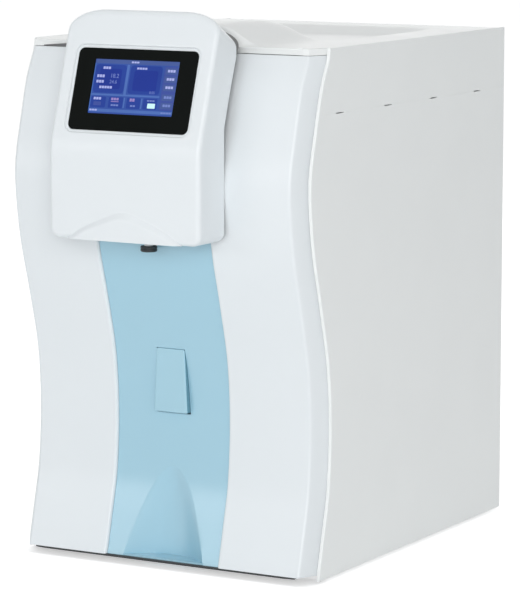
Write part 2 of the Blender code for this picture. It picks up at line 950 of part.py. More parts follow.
def add_lever_mount():
    add_rod("lever_pivot_pin", (-pin_end, pivot_y, pivot_z), (pin_end, pivot_y, pivot_z),
            pin_radius, polished_steel)
    bracket = add_box("lever_bracket", (-ear_outer, bracket_front, pivot_z - bracket_height / 2),
                      (ear_outer, bracket_back, pivot_z + bracket_height / 2), steel_sheet)
    for name, side in (("left", -1), ("right", 1)):
        near, far = sorted((side * ear_inner, side * ear_outer))
        join(bracket, add_box(f"bracket_ear_{name}",
                              (near, pivot_y - ear_radius, pivot_z - ear_radius),
                              (far, bracket_back - sheet_wall / 2, pivot_z + ear_radius)))
    return cut(bracket, add_rod("bracket_hole", (-pin_end, pivot_y, pivot_z),
                                (pin_end, pivot_y, pivot_z), pin_radius + fit_gap))


def add_switch():
    half = switch_width / 2
    body = add_box("dispense_switch", (-half, switch_front, switch_z - switch_height / 2),
                   (half, bracket_front - fit_gap, switch_z + switch_height / 2), dark_plastic)
    inside = switch_front + plunger_reach
    cut(body, add_rod("plunger_bore", (0, switch_front - overrun, switch_z),
                      (0, inside + plunger_room, switch_z), plunger_radius + fit_gap))
    plunger = add_rod("switch_plunger", (0, plunger_tip, switch_z), (0, inside, switch_z),
                      plunger_radius, white_plastic)
    set_origin(plunger, (0, plunger_tip, switch_z))


def add_lever_spring():
    # Coiled round the pin outside the right ear. Its straight end bears on the bulkhead.
    radius = pin_radius + spring_clearance + spring_wire
    start = ear_outer + fit_gap + spring_wire
    points = []
    for i in range(spring_turns * spring_points + 1):
        turn = 2 * math.pi * i / spring_points
        x = start + spring_pitch * i / spring_points
        points.append((x, pivot_y - radius * math.sin(turn), pivot_z + radius * math.cos(turn)))
    end = points[-1]
    points.append((end[0], bracket_back - spring_wire, end[2]))
    add_tube("lever_spring", points, spring_wire, polished_steel, 1)


# Cartridges, membrane housing, polishing columns and lamp chamber

left_x = -inner_half + row_gap + membrane_radius
mid_x = left_x + membrane_radius + row_gap + cartridge_radius + cap_overhang
row_1 = bulkhead_back + row_gap + cartridge_radius + cap_overhang
row_2 = row_1 + 2 * (cartridge_radius + cap_overhang) + row_gap
row_3 = row_2 + cartridge_radius + row_gap + membrane_radius + 2 * cap_overhang
rack_end = row_3 + membrane_radius + cap_overhang
column_deck = stand_level + max(column_height, lamp_height)
vessel_deck = max(column_deck, stand_level + max(membrane_height, cartridge_height))
vessels = {
    "sediment_cartridge": (left_x, row_1, cartridge_radius, cartridge_height, filter_plastic),
    "carbon_cartridge": (left_x, row_2, cartridge_radius, cartridge_height, filter_plastic),
    "ro_membrane_housing": (left_x, row_3, membrane_radius, membrane_height, filter_plastic),
    "polishing_column_1": (mid_x, row_1, column_radius, column_height, filter_plastic),
    "polishing_column_2": (mid_x, row_2, column_radius, column_height, filter_plastic),
    "uv_lamp_chamber": (mid_x, row_3, lamp_radius, lamp_height, polished_steel),
}


def vessel_port(name, side):
    x, y, radius, height, finish = vessels[name]
    return Vector((x + side * port_offset, y, stand_level + height + port_height + fit_gap))


def add_vessel(name):
    x, y, radius, height, finish = vessels[name]
    wide = radius + cap_overhang
    collar = height - cap_height
    profile = [(0, height), (wide - cap_bevel, height), (wide, height - cap_bevel),
               (wide, collar), (radius, collar), (radius, cap_bevel), (radius - cap_bevel, 0),
               (0, 0)]
    vessel = add_turned(name, profile, (x, y, stand_level), (0, 0, 1), finish)
    stubs = [("in", (-port_offset, 0, height - cap_bevel),
              (-port_offset, 0, height + port_height)),
             ("out", (port_offset, 0, height - cap_bevel),
              (port_offset, 0, height + port_height))]
    if name == "ro_membrane_housing":
        stubs.append(("brine", (0, radius / 2, brine_level),
                      (0, wide + port_height, brine_level)))
    for label, foot, head in stubs:
        stub = add_rod(f"{name}_{label}", foot, head, port_radius)
        stub.matrix_world = vessel.matrix_world
        join(vessel, stub)


def add_rack():
    level = case_bottom + rack_level
    low = Vector((-inner_half + fit_gap, bulkhead_back + fit_gap, level))
    high = Vector((mid_x + cartridge_radius + row_gap, rack_end, level + sheet_wall))
    rack = add_box("cartridge_rack", low, high, steel_sheet)
    leg = (left_x + mid_x) / 2
    join(rack, add_box("rack_leg", (leg - rack_leg_width / 2, rack_end - sheet_wall, stand_level),
                       (leg + rack_leg_width / 2, rack_end, level + sheet_wall / 2)))
    for name, (x, y, radius, height, finish) in vessels.items():
        cut(rack, add_rod(f"rack_hole_{name}", (x, y, level - overrun),
                          (x, y, level + sheet_wall + overrun), radius + rack_clearance, None,
                          round_sides))


# Pump, valves, final filter, supply and board

pump_x = mid_x + cartridge_radius + row_gap + pump_clearance + pump_radius
pump_y = bulkhead_back + row_gap + pump_head_length
pump_z = stand_level + pump_foot + pump_radius
pump_top = pump_z + pump_head_half
hose_first = -inner_half + hose_set_in
hose_z = case_bottom + hose_level
hose_tail = rear_back + fit_gap - hose_neck_length - hose_stem_length
valve_back = hose_tail - fit_gap - valve_stub
valve_front = valve_back - valve_depth
filter_x = mid_x + column_radius + cap_overhang + filter_clearance
filter_z = case_bottom + filter_level
filter_front = bulkhead_front - fit_gap - filter_depth
filter_tail = bulkhead_back + port_height
board_x = inner_half - board_set_in - board_width / 2
board_z = case_bottom + board_level
board_front = bulkhead_back + fit_gap + standoff_length
supply_front = pump_y + pump_length + row_gap


def add_pump():
    motor = add_rod("pump_motor", (pump_x, pump_y + fit_gap, pump_z),
                    (pump_x, pump_y + pump_length, pump_z), pump_radius, steel_sheet,
                    round_sides)
    join(motor, add_box("pump_foot",
                        (pump_x - pump_radius / 2, pump_y + row_gap, stand_level),
                        (pump_x + pump_radius / 2, pump_y + pump_length - row_gap, pump_z)))
    half = pump_head_half
    head = add_box("pump_head", (pump_x - half, pump_y - pump_head_length, pump_z - half),
                   (pump_x + half, pump_y, pump_top), dark_plastic)
    soften(head, cap_bevel)
    y = pump_y - pump_head_length / 2
    for label, side in (("in", -1), ("out", 1)):
        x = pump_x + side * port_offset
        join(head, add_rod(f"pump_{label}", (x, y, pump_top - overrun),
                           (x, y, pump_top + port_height), port_radius))


def pump_port(side):
    return Vector((pump_x + side * port_offset, pump_y - pump_head_length / 2,
                   pump_top + port_height + fit_gap))


def add_valve(name, x):
    top = stand_level + valve_height
    middle = (valve_front + valve_back) / 2
    valve = add_box(name, (x - valve_width / 2, valve_front, stand_level),
                    (x + valve_width / 2, valve_back, top), dark_plastic)
    coil = add_rod(f"{name}_coil", (x, middle, top - overrun), (x, middle, top + coil_height),
                   coil_radius)
    line = add_rod(f"{name}_line", (x, valve_front - valve_stub, hose_z),
                   (x, valve_back + valve_stub, hose_z), port_radius)
    join(valve, coil, line)


def add_final_filter(bulkhead):
    # A disc on the bulkhead, its tail through it to the back and its nose to the front.
    profile = [(0, filter_depth + port_height), (port_radius, filter_depth + port_height),
               (port_radius, filter_depth), (filter_radius - cap_bevel, filter_depth),
               (filter_radius, filter_depth - cap_bevel), (filter_radius, 0), (port_radius, 0),
               (port_radius, bulkhead_front - filter_tail), (0, bulkhead_front - filter_tail)]
    add_turned("final_filter", profile, (filter_x, bulkhead_front - fit_gap, filter_z),
               (0, -1, 0), filter_plastic)
    cut(bulkhead, add_rod("filter_hole", (filter_x, bulkhead_front - overrun, filter_z),
                          (filter_x, bulkhead_back + overrun, filter_z),
                          port_radius + fit_gap))


def add_supply():
    supply = add_box("power_supply", (inner_half - row_gap - supply_width, supply_front,
                                      stand_level),
                     (inner_half - row_gap, supply_front + supply_depth,
                      stand_level + supply_height), steel_sheet)
    soften(supply, sheet_wall, 1)


def add_control_board():
    half = board_width / 2
    tall = board_height / 2
    board = add_box("control_board", (board_x - half, board_front, board_z - tall),
                    (board_x + half, board_front + board_wall, board_z + tall), circuit_green)
    for end, sz in (("low", -1), ("high", 1)):
        for side, sx in (("left", -1), ("right", 1)):
            x = board_x + sx * (half - standoff_inset)
            z = board_z + sz * (tall - standoff_inset)
            join(board, add_rod(f"board_post_{side}_{end}", (x, bulkhead_back + fit_gap, z),
                                (x, board_front + board_wall / 2, z), standoff_radius))


# Rear connections

def add_hose_port(name, x, panel):
    flange = hose_flange_wall
    outside = flange + hose_stem_length
    inside = -hose_neck_length
    profile = [(0, outside), (hose_stem_radius, outside), (hose_stem_radius, flange),
               (hose_flange_radius, flange), (hose_flange_radius, 0), (hose_neck_radius, 0),
               (hose_neck_radius, inside), (hose_stem_radius, inside),
               (hose_stem_radius, inside - hose_stem_length), (0, inside - hose_stem_length)]
    port = add_turned(name, profile, (x, rear_back + fit_gap, hose_z), (0, 1, 0), white_plastic,
                      small_sides)
    bore = add_rod(f"{name}_bore", (0, 0, flange), (0, 0, outside + overrun), hose_bore)
    bore.matrix_world = port.matrix_world
    cut(port, bore)
    cut(panel, add_rod(f"{name}_hole", (x, rear_front - overrun, hose_z),
                       (x, rear_back + overrun, hose_z), hose_neck_radius + fit_gap))


def box_about(name, x, z, half_x, half_z, near, far, finish=None):
    return add_box(name, (x - half_x, near, z - half_z), (x + half_x, far, z + half_z), finish)


inlet_x = inner_half - inlet_set_in
inlet_z = case_bottom + inlet_level
inlet_face = rear_back + fit_gap + inlet_flange_wall


def add_mains_inlet(panel):
    wide = socket_width / 2
    tall = socket_height / 2
    inner = inlet_face - inlet_depth
    inlet = box_about("mains_inlet", inlet_x, inlet_z, inlet_width / 2, inlet_height / 2,
                      rear_back + fit_gap, inlet_face, dark_plastic)
    wall = socket_wall
    join(inlet, box_about("inlet_body", inlet_x, inlet_z, wide + wall, tall + wall, inner,
                          inlet_face - inlet_flange_wall / 2))
    floor = inlet_face - socket_depth
    cut(inlet, box_about("mains_socket", inlet_x, inlet_z, wide, tall, floor,
                         inlet_face + overrun))
    for name, step, rise in (("live", -1, -1), ("earth", 0, 1), ("neutral", 1, -1)):
        join(inlet, box_about(f"blade_{name}", inlet_x + step * blade_pitch,
                              inlet_z + rise * blade_height / 2, blade_wall / 2,
                              blade_height / 2, floor - overrun, floor + blade_length))
    wall += fit_gap
    cut(panel, box_about("inlet_hole", inlet_x, inlet_z, wide + wall, tall + wall,
                         rear_front - overrun, rear_back + overrun))


rocker_z = case_bottom + rocker_level
rocker_y = inlet_face - rocker_sink
rocker_lip = rocker_rise + rocker_half_height * math.tan(rocker_dish)
rocker_reach = math.hypot(rocker_lip, rocker_half_height)


def add_rocker(panel):
    # The rocker's back is an arc round its axle, so that it clears the housing as it tips.
    wide = rocker_width / 2 + rocker_clearance
    tall = rocker_reach + rocker_clearance
    wall = housing_wall
    housing = box_about("switch_housing", inlet_x, rocker_z, wide + housing_flange,
                        tall + housing_flange, rear_back + fit_gap, inlet_face, dark_plastic)
    join(housing, box_about("switch_body", inlet_x, rocker_z, wide + wall, tall + wall,
                            inlet_face - housing_depth, inlet_face - inlet_flange_wall / 2))
    cut(housing, box_about("switch_cavity", inlet_x, rocker_z, wide, tall,
                           inlet_face - housing_depth + wall, inlet_face + overrun))
    axle = wide + wall / 2
    cut(housing, add_rod("axle_hole", (inlet_x - axle - fit_gap, rocker_y, rocker_z),
                         (inlet_x + axle + fit_gap, rocker_y, rocker_z),
                         rocker_axle_radius + fit_gap))
    wall += fit_gap
    cut(panel, box_about("switch_hole", inlet_x, rocker_z, wide + wall, tall + wall,
                         rear_front - overrun, rear_back + overrun))
    corner = math.atan2(rocker_half_height, rocker_lip)
    outline = [(rocker_rise, 0)]
    outline += arc((0, 0), (rocker_reach, rocker_reach), corner, 2 * math.pi - corner,
                   rocker_arc_steps)
    place = Matrix.Translation((inlet_x, rocker_y, rocker_z))
    tipped = place @ Matrix.Rotation(rocker_dish, 4, "X") @ across_x
    rocker = add_outline("power_rocker", outline, rocker_width, tipped, dark_plastic)
    set_origin(rocker, (inlet_x, rocker_y, rocker_z))
    stub = add_rod("rocker_axle", (-axle, 0, 0), (axle, 0, 0), rocker_axle_radius)
    stub.matrix_world = place
    join(rocker, stub)


# Tubes and cables inside

def add_line(name, route, radius=tube_radius, step=tube_step, finish=tube_plastic):
    add_tube(name, smooth_route(route, step), radius, finish)


def hop_route(start, end, level):
    # Straight up from one port, across at the level and straight down to the other.
    lift = Vector((0, 0, tube_lift / 2))
    near = start.lerp(end, tube_lift / (end - start).length)
    far = end.lerp(start, tube_lift / (end - start).length)
    near.z = level
    far.z = level
    route = [start, start + lift]
    if level - start.z > 2 * tube_lift:
        route.append(Vector((start.x, start.y, level - tube_lift)))
    route += [near, far]
    if level - end.z > 2 * tube_lift:
        route.append(Vector((end.x, end.y, level - tube_lift)))
    return route + [end + lift, end]


def link(name, start, end):
    add_line(name, hop_route(start, end, max(start.z, end.z) + tube_lift))


def hop(name, start, end, level):
    add_line(name, hop_route(start, end, level))


def add_tubes():
    link("carbon_feed_tube", vessel_port("sediment_cartridge", 1),
         vessel_port("carbon_cartridge", 1))
    link("polishing_tube", vessel_port("polishing_column_1", 1),
         vessel_port("polishing_column_2", 1))
    link("lamp_feed_tube", vessel_port("polishing_column_2", -1),
         vessel_port("uv_lamp_chamber", -1))
    hop("pump_feed_tube", vessel_port("carbon_cartridge", -1), pump_port(-1),
        vessel_deck + pump_tube_rise)
    hop("membrane_feed_tube", pump_port(1), vessel_port("ro_membrane_housing", -1),
        vessel_deck + membrane_tube_rise)
    hop("permeate_tube", vessel_port("ro_membrane_housing", 1),
        vessel_port("polishing_column_1", -1), vessel_deck + permeate_tube_rise)
    add_filter_tubes()
    add_rear_tubes()


def add_filter_tubes():
    lamp = vessel_port("uv_lamp_chamber", 1)
    tail = Vector((filter_x, filter_tail + fit_gap, filter_z))
    lift = Vector((0, 0, tube_lift))
    level = column_deck + lamp_tube_rise
    add_line("filter_feed_tube", [
        lamp, lamp + lift / 2, Vector((lamp.x, lamp.y - tube_lift, level)),
        Vector(((lamp.x + tail.x) / 2, row_2, level)),
        Vector((tail.x, row_1, level - tube_lift)),
        tail + Vector((0, tube_lift, tube_lift)), tail + Vector((0, tube_lift / 2, 0)), tail])
    nose = Vector((filter_x, filter_front - port_height - fit_gap, filter_z))
    stem = Vector((0, stem_end + fit_gap, stem_z))
    step = Vector((0, tube_lift / 2, 0))
    add_line("nozzle_tube", [stem, stem + step, stem.lerp(nose, 1 / 2) + step / 2,
                             nose - step, nose])


def add_rear_tubes():
    valve = Vector((hose_first, valve_front - valve_stub - fit_gap, hose_z))
    port = vessel_port("sediment_cartridge", -1)
    lane = -inner_half + feed_tube_lane
    level = vessel_deck + feed_tube_rise
    back = rack_end + tube_lift
    add_line("sediment_feed_tube", [
        valve, valve - Vector((0, tube_lift / 2, 0)), Vector((lane, back, 2 * hose_z)),
        Vector((lane, back, level - 2 * tube_lift)), Vector((lane, back - tube_lift, level)),
        Vector((lane, row_2, level)), Vector((lane, row_1 + 2 * tube_lift, level - tube_lift)),
        port + Vector((0, 0, tube_lift)), port])
    brine = Vector((left_x, row_3 + membrane_radius + cap_overhang + port_height + fit_gap,
                    stand_level + brine_level))
    flush = valve + Vector((hose_pitch, 0, 0))
    step = Vector((0, tube_lift / 3, 0))
    add_line("drain_tube", [brine, brine + step, flush - step, flush])


def add_cables():
    board_back = board_front + board_wall + fit_gap + cable_radius
    supply_x = inner_half - row_gap - supply_width / 2
    supply_top = stand_level + supply_height + fit_gap
    inlet = Vector((inlet_x, inlet_face - inlet_depth - fit_gap, inlet_z))
    supply = Vector((supply_x, supply_front + supply_depth + fit_gap, inlet_z))
    slack = Vector((0, cable_offset, 0))
    add_line("mains_cable", [inlet, inlet - slack, supply + slack, supply], cable_radius,
             cable_step, black_rubber)
    top = Vector((supply_x, supply_front + cable_offset, supply_top))
    rise = Vector((0, 0, cable_offset))
    foot = Vector((supply_x, board_back, board_z - board_height / 2 + cable_offset))
    add_line("board_cable", [top, top + rise, foot - rise + slack / 2, foot, foot + rise],
             cable_radius, cable_step, black_rubber)
    depth = recess_depth + bezel_wall + lcd_wall + board_wall + 3 * fit_gap
    start = display_matrix() @ Vector((0, -lcd_height / 2, -depth))
    bend = display_matrix() @ Vector((0, -lcd_height / 2, -depth - cable_offset / 2))
    head = board_z + board_height / 2
    add_line("display_cable", [
        start, bend, Vector((0, arm_front - cable_offset / 2, arm_z)),
        Vector((0, arm_front + cable_offset, arm_z)),
        Vector((0, bulkhead_back, arm_z)),
        Vector((cable_offset, bulkhead_back + cable_offset, arm_z)),
        Vector((board_x, board_back, head)), Vector((board_x, board_back, head - cable_offset))],
        cable_radius, cable_step, black_rubber)


def shade_pieces():
    for obj in parts.objects:
        if obj.type == "MESH":
            obj.data.shade_smooth()
            obj.data.set_sharp_from_angle(angle=smooth_angle)


add_wing("left_wing", -1)
add_wing("right_wing", 1)
centre_panel = add_centre_panel()
add_side_panel("left_side_panel", -1)
add_side_panel("right_side_panel", 1)
add_top_cover()
add_base_pan()
add_feet()
bulkhead = add_bulkhead()
rear_panel = add_rear_panel()
add_head_shell()
add_head_back_plate()
add_display()
cut(centre_panel, add_head_arm(), add_nozzle(), lever_opening())
cut(bulkhead, cable_hole("bulkhead_cable_hole", 0, arm_z, bulkhead_front, bulkhead_back,
                         cable_radius))
add_lever()
add_lever_mount()
add_switch()
add_lever_spring()
for vessel_name in vessels:
    add_vessel(vessel_name)
add_rack()
add_pump()
add_valve("inlet_valve", hose_first)
add_valve("flush_valve", hose_first + hose_pitch)
add_final_filter(bulkhead)
add_supply()
add_control_board()
add_hose_port("feed_port", hose_first, rear_panel)
add_hose_port("drain_port", hose_first + hose_pitch, rear_panel)
add_mains_inlet(rear_panel)
add_rocker(rear_panel)
add_tubes()
add_cables()
shade_pieces()
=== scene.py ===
import math

import bmesh
import bpy
from mathutils import Matrix, Vector
from mathutils.kdtree import KDTree


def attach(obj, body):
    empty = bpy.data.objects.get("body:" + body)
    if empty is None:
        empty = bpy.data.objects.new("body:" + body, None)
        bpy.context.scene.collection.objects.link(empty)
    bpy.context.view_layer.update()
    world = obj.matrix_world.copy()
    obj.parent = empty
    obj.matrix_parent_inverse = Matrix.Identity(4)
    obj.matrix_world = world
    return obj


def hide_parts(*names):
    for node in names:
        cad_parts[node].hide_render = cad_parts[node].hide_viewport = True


# Bench-top pure water system with a touch screen head. Metres, +X right, +Y back, +Z up.
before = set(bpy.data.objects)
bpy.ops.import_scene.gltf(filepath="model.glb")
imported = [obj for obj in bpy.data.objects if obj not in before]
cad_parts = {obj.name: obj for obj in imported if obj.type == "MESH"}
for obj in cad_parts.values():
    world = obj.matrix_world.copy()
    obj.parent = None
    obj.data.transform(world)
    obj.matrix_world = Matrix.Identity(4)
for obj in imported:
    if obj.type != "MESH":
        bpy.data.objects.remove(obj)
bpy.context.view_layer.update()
print("frame loaded")

# Places that every piece shares, the same as in the solids
case = {
    "frontY": -0.1785, "backY": 0.2465, "bottom": 0.003, "top": 0.520,
    "frontFoot": 0.0086, "frontTop": 0.5132, "lip": 0.5135,
    "halfWidth": 0.169, "innerHalf": 0.1657, "frontHalf": 0.156, "panelHalf": 0.0644,
    "bandDepth": 0.020, "bulkheadY": -0.1285, "rearY": 0.2345, "gap": 0.0003,
    "shellWall": 0.0025, "sideWall": 0.003,
}

# The S of the front, seen from the side
swell = {
    "depth": 0.0205,
    "heights": (0, 0.08, 0.16, 0.28, 0.40, 0.52, 0.62, 0.72, 0.78, 0.86, 0.94, 1),
    "depths": (-0.10, 0.40, 0.86, 1.06, 0.84, 0.10, -0.60, -0.98, -0.95, -0.46, 0.12, 0.85),
}


def swellSlope(i):
    before = max(0, i - 1)
    after = min(len(swell["heights"]) - 1, i + 1)
    rise = swell["heights"][after] - swell["heights"][before]
    return (swell["depths"][after] - swell["depths"][before]) / rise


def frontLine(z):
    # Depth of the white face at a height
    share = (z - case["frontFoot"]) / (case["frontTop"] - case["frontFoot"])
    share = min(1, max(0, share))
    i = 0
    while i < len(swell["heights"]) - 2 and share > swell["heights"][i + 1]:
        i += 1
    step = swell["heights"][i + 1] - swell["heights"][i]
    t = (share - swell["heights"][i]) / step
    depth = ((2 * t ** 3 - 3 * t ** 2 + 1) * swell["depths"][i]
             + (t ** 3 - 2 * t ** 2 + t) * step * swellSlope(i)
             + (3 * t ** 2 - 2 * t ** 3) * swell["depths"][i + 1]
             + (t ** 3 - t ** 2) * step * swellSlope(i + 1))
    return case["frontY"] + swell["depth"] * depth


def levels(low, high, count):
    return [low + (high - low) * i / count for i in range(count + 1)]


def smoothStep(share):
    share = min(1, max(0, share))
    return share * share * (3 - 2 * share)


def softStep(share):
    # Like smoothStep, and with no break in curvature at its ends
    share = min(1, max(0, share))
    return share ** 3 * (share * (6 * share - 15) + 10)


def arcPoints(centre, radii, start, end, steps):
    return [(centre[0] + radii[0] * math.cos(angle), centre[1] + radii[1] * math.sin(angle))
            for angle in levels(start, end, steps)]


def circle(radius, steps):
    return arcPoints((0, 0), (radius, radius), 0, 2 * math.pi, steps)[:-1]


def roundedCorners(width, height, radius, steps=6):
    points = []
    quarter = math.pi / 2
    for turn, (sx, sy) in enumerate(((1, 1), (-1, 1), (-1, -1), (1, -1))):
        centre = (sx * (width / 2 - radius), sy * (height / 2 - radius))
        points += arcPoints(centre, (radius, radius), turn * quarter, (turn + 1) * quarter, steps)
    return points


def mirrored(points):
    # Points with X first, on the other side and in turned order
    return [(-x, other) for x, other in reversed(points)]


def grown(size, margin):
    return [side + 2 * margin for side in size]


def inMetres(points):
    # Of a profile written in millimetres
    return [(radius / 1000, height / 1000) for radius, height in points]


# Camera and light first, so that a look at any stage shows something

view = {"place": (1.62585, -2.84867, 0.72535), "turn": (81.708, 0, 29.547), "lens": 193.207,
        "sensor": 36, "reach": 100}

bpy.ops.object.camera_add(location=view["place"],
                          rotation=[math.radians(angle) for angle in view["turn"]])
camera = bpy.context.object
camera.name = "photoCamera"
camera.data.lens = view["lens"]
camera.data.sensor_width = view["sensor"]
camera.data.clip_end = view["reach"]
bpy.context.scene.camera = camera

lamps = {
    "frontSoftbox": {"place": (1.70, -3.4, 1.20), "size": (2.2, 1.4), "power": 55},
    "sideSoftbox": {"place": (3.3, -2.1, 1.05), "size": (1.0, 1.0), "power": 9},
    "leftStrip": {"place": (-1.9, -3.2, 0.95), "size": (1.6, 0.35), "power": 9},
    "topSoftbox": {"place": (-0.3, 0.2, 3.2), "size": (3.0, 3.0), "power": 16},
    "rimStrip": {"place": (-1.7, 3.0, 1.0), "size": (3.0, 0.8), "power": 7},
}
lampAim = Vector((0, 0, 0.28))


def hangLamp(name, values):
    place = Vector(values["place"])
    bpy.ops.object.light_add(type="AREA", location=place)
    lamp = bpy.context.object
    lamp.name = name
    lamp.rotation_euler = (lampAim - place).to_track_quat("-Z", "Y").to_euler()
    lamp.data.shape = "RECTANGLE"
    lamp.data.size, lamp.data.size_y = values["size"]
    lamp.data.energy = values["power"]


for lampName, lampValues in lamps.items():
    hangLamp(lampName, lampValues)
print("camera and lamps set")

# Mesh work, as by hand: one piece is open at a time, and what an operator acts on is picked
# by its place or by the way it faces.

samePlace = 1e-5
samePoint = 1e-6
leastStep = 1e-7
dotSize = 0.01

forward = (math.radians(90), 0, 0)        # an upright axis laid towards the front
backward = (math.radians(-90), 0, 0)      # towards the back
rightward = (0, math.radians(90), 0)      # and to the right
onSide = (math.radians(90), 0, math.radians(90))      # a flat outline stood up along the side


def putDown():
    # Closes the open mesh and lets go of every object
    if bpy.context.mode != "OBJECT":
        bpy.ops.object.mode_set(mode="OBJECT")
    bpy.ops.object.select_all(action="DESELECT")


def takeUp(piece):
    putDown()
    piece.select_set(True)
    bpy.context.view_layer.objects.active = piece


def settle(piece):
    takeUp(piece)
    bpy.ops.object.transform_apply(location=True, rotation=True, scale=True)
    return piece


def rename(piece, name):
    piece.name = name
    piece.data.name = name
    return piece


def stand(piece, place=(0, 0, 0), turn=(0, 0, 0)):
    piece.location = place
    piece.rotation_euler = turn
    return settle(piece)


def copyOf(piece, name, step=(0, 0, 0)):
    takeUp(piece)
    bpy.ops.object.duplicate(linked=False)
    return stand(rename(bpy.context.object, name), step)


def openMesh(piece):
    takeUp(piece)
    bpy.ops.object.mode_set(mode="EDIT")
    bpy.ops.mesh.select_mode(type="VERT")


def openedMesh():
    return bmesh.from_edit_mesh(bpy.context.edit_object.data)


def middleOf(item):
    return sum((corner.co for corner in item.verts), Vector()) / len(item.verts)


def pickAll():
    bpy.ops.mesh.select_all(action="SELECT")


def pick(kind, test):
    bpy.ops.mesh.select_mode(type=kind)
    bpy.ops.mesh.select_all(action="DESELECT")
    mesh = openedMesh()
    mesh.normal_update()
    for item in {"VERT": mesh.verts, "EDGE": mesh.edges, "FACE": mesh.faces}[kind]:
        if test(item):
            item.select_set(True)
    mesh.select_flush_mode()
    bmesh.update_edit_mesh(bpy.context.edit_object.data)


def pickCorners(indices):
    bpy.ops.mesh.select_all(action="DESELECT")
    mesh = openedMesh()
    mesh.verts.ensure_lookup_table()
    for index in indices:
        mesh.verts[index].select_set(True)
    mesh.select_flush_mode()


def push(step):
    bpy.ops.mesh.extrude_region_move(TRANSFORM_OT_translate={"value": step})


def moveRow(places, targets):
    # Takes each picked corner from its place to its target. Corners with one step go together.
    tree = KDTree(len(places))
    for i, place in enumerate(places):
        tree.insert(place, i)
    tree.balance()
    mesh = openedMesh()
    mesh.verts.index_update()
    row = {corner.index: tree.find(corner.co)[1] for corner in mesh.verts if corner.select}
    steps = {}
    for index, i in row.items():
        step = Vector(targets[i]) - Vector(places[i])
        if step.length > leastStep:
            steps.setdefault(tuple(round(part, 7) for part in step), []).append(index)
    for step, indices in steps.items():
        pickCorners(indices)
        bpy.ops.transform.translate(value=step)
    pickCorners(row)


def growRow(old, new):
    # Pulls the picked row or ring out to the next one, each corner to its own place
    first = Vector(new[0]) - Vector(old[0])
    push(first)
    moveRow([Vector(place) + first for place in old], new)


def growRows(rows):
    for near, far in zip(rows, rows[1:]):
        growRow(near, far)


def drawLine(name, points):
    # Leaves the mesh open, with the whole line picked
    points = [Vector(point) for point in points]
    putDown()
    bpy.ops.mesh.primitive_plane_add(size=dotSize, location=points[0])
    piece = settle(rename(bpy.context.object, name))
    openMesh(piece)
    pickAll()
    bpy.ops.mesh.merge(type="CENTER")
    for near, far in zip(points, points[1:]):
        push(far - near)
    pickAll()
    return piece


def drawRing(name, points):
    piece = drawLine(name, points)
    ends = (Vector(points[0]), Vector(points[-1]))
    pick("VERT", lambda corner: min((corner.co - end).length for end in ends) < samePoint)
    bpy.ops.mesh.edge_face_add()
    pickAll()
    return piece


def drawRows(name, rows):
    # An open sheet, row by row
    piece = drawLine(name, rows[0])
    growRows(rows)
    return piece


def faceOut(test, outward):
    # Turns an open shell's faces so that those that pass the test look outward
    bpy.ops.mesh.select_mode(type="FACE")
    pickAll()
    bpy.ops.mesh.normals_make_consistent(inside=False)
    mesh = openedMesh()
    mesh.normal_update()
    face = next(face for face in mesh.faces if test(middleOf(face)))
    if face.normal.dot(Vector(outward)) < 0:
        bpy.ops.mesh.flip_normals()


def closeUp():
    # Merges what meets and turns every face of a closed piece outwards
    pickAll()
    bpy.ops.mesh.remove_doubles(threshold=samePlace)
    bpy.ops.mesh.normals_make_consistent(inside=False)
    putDown()


def drawLoft(name, rings, filled=True):
    # A closed body from ring to ring, with its ends filled or led back to the first ring
    piece = drawRing(name, rings[0])
    if filled:
        bpy.ops.mesh.edge_face_add()
    bpy.ops.mesh.select_mode(type="VERT")
    growRows(rings if filled else rings + rings[:1])
    closeUp()
    return piece


def plate(name, points, thickness, place=(0, 0, 0), turn=(0, 0, 0)):
    # A flat outline in X and Y, filled and given a thickness upwards, then stood at its place
    piece = drawRing(name, [(x, y, 0.0) for x, y in points])
    bpy.ops.mesh.edge_face_add()
    push((0, 0, thickness))
    closeUp()
    return stand(piece, place, turn)


def slab(name, size, corner, thickness, place=(0, 0, 0), turn=(0, 0, 0), steps=3):
    # A plate with rounded corners
    return plate(name, roundedCorners(*size, corner, steps), thickness, place, turn)


def rod(name, radius, length, place, turn, steps=32):
    return plate(name, circle(radius, steps), length, place, turn)


def block(name, low, high):
    low, high = Vector(low), Vector(high)
    putDown()
    bpy.ops.mesh.primitive_cube_add(size=1, location=(low + high) / 2, scale=high - low)
    return settle(rename(bpy.context.object, name))


def turned(name, profile, place=(0, 0, 0), turn=(0, 0, 0), steps=48):
    # The profile holds radius and height, and is spun round its upright axis
    piece = drawLine(name, [(radius, 0, height) for radius, height in profile])
    bpy.ops.mesh.spin(steps=steps, angle=2 * math.pi, center=(0, 0, 0), axis=(0, 0, 1))
    closeUp()
    return stand(piece, place, turn)


def pin(name, radius, length, edge, place, turn, steps=48):
    # A round bar with its far edge broken
    return turned(name, [(0, 0), (radius, 0), (radius, length - edge), (radius - edge, length),
                         (0, length)], place, turn, steps)


def openMirror(piece, name):
    twin = copyOf(piece, name)
    openMesh(twin)
    pickAll()
    bpy.ops.transform.resize(value=(-1, 1, 1), center_override=(0, 0, 0))
    return twin


def finishWith(piece, kind, **values):
    takeUp(piece)
    bpy.ops.object.modifier_add(type=kind)
    step = piece.modifiers[-1]
    for name, value in values.items():
        setattr(step, name, value)
    bpy.ops.object.modifier_apply(modifier=step.name)
    return piece


def giveWall(piece, wall):
    return finishWith(piece, "SOLIDIFY", thickness=wall, offset=-1, use_even_offset=True)


def breakEdges(piece, width, steps=2, angle=60):
    return finishWith(piece, "BEVEL", width=width, segments=steps, limit_method="ANGLE",
                      angle_limit=math.radians(angle), use_clamp_overlap=True)


def bevelWhere(piece, test, width, steps):
    openMesh(piece)
    pick("EDGE", test)
    bpy.ops.mesh.bevel(offset=width, segments=steps, affect="EDGES")


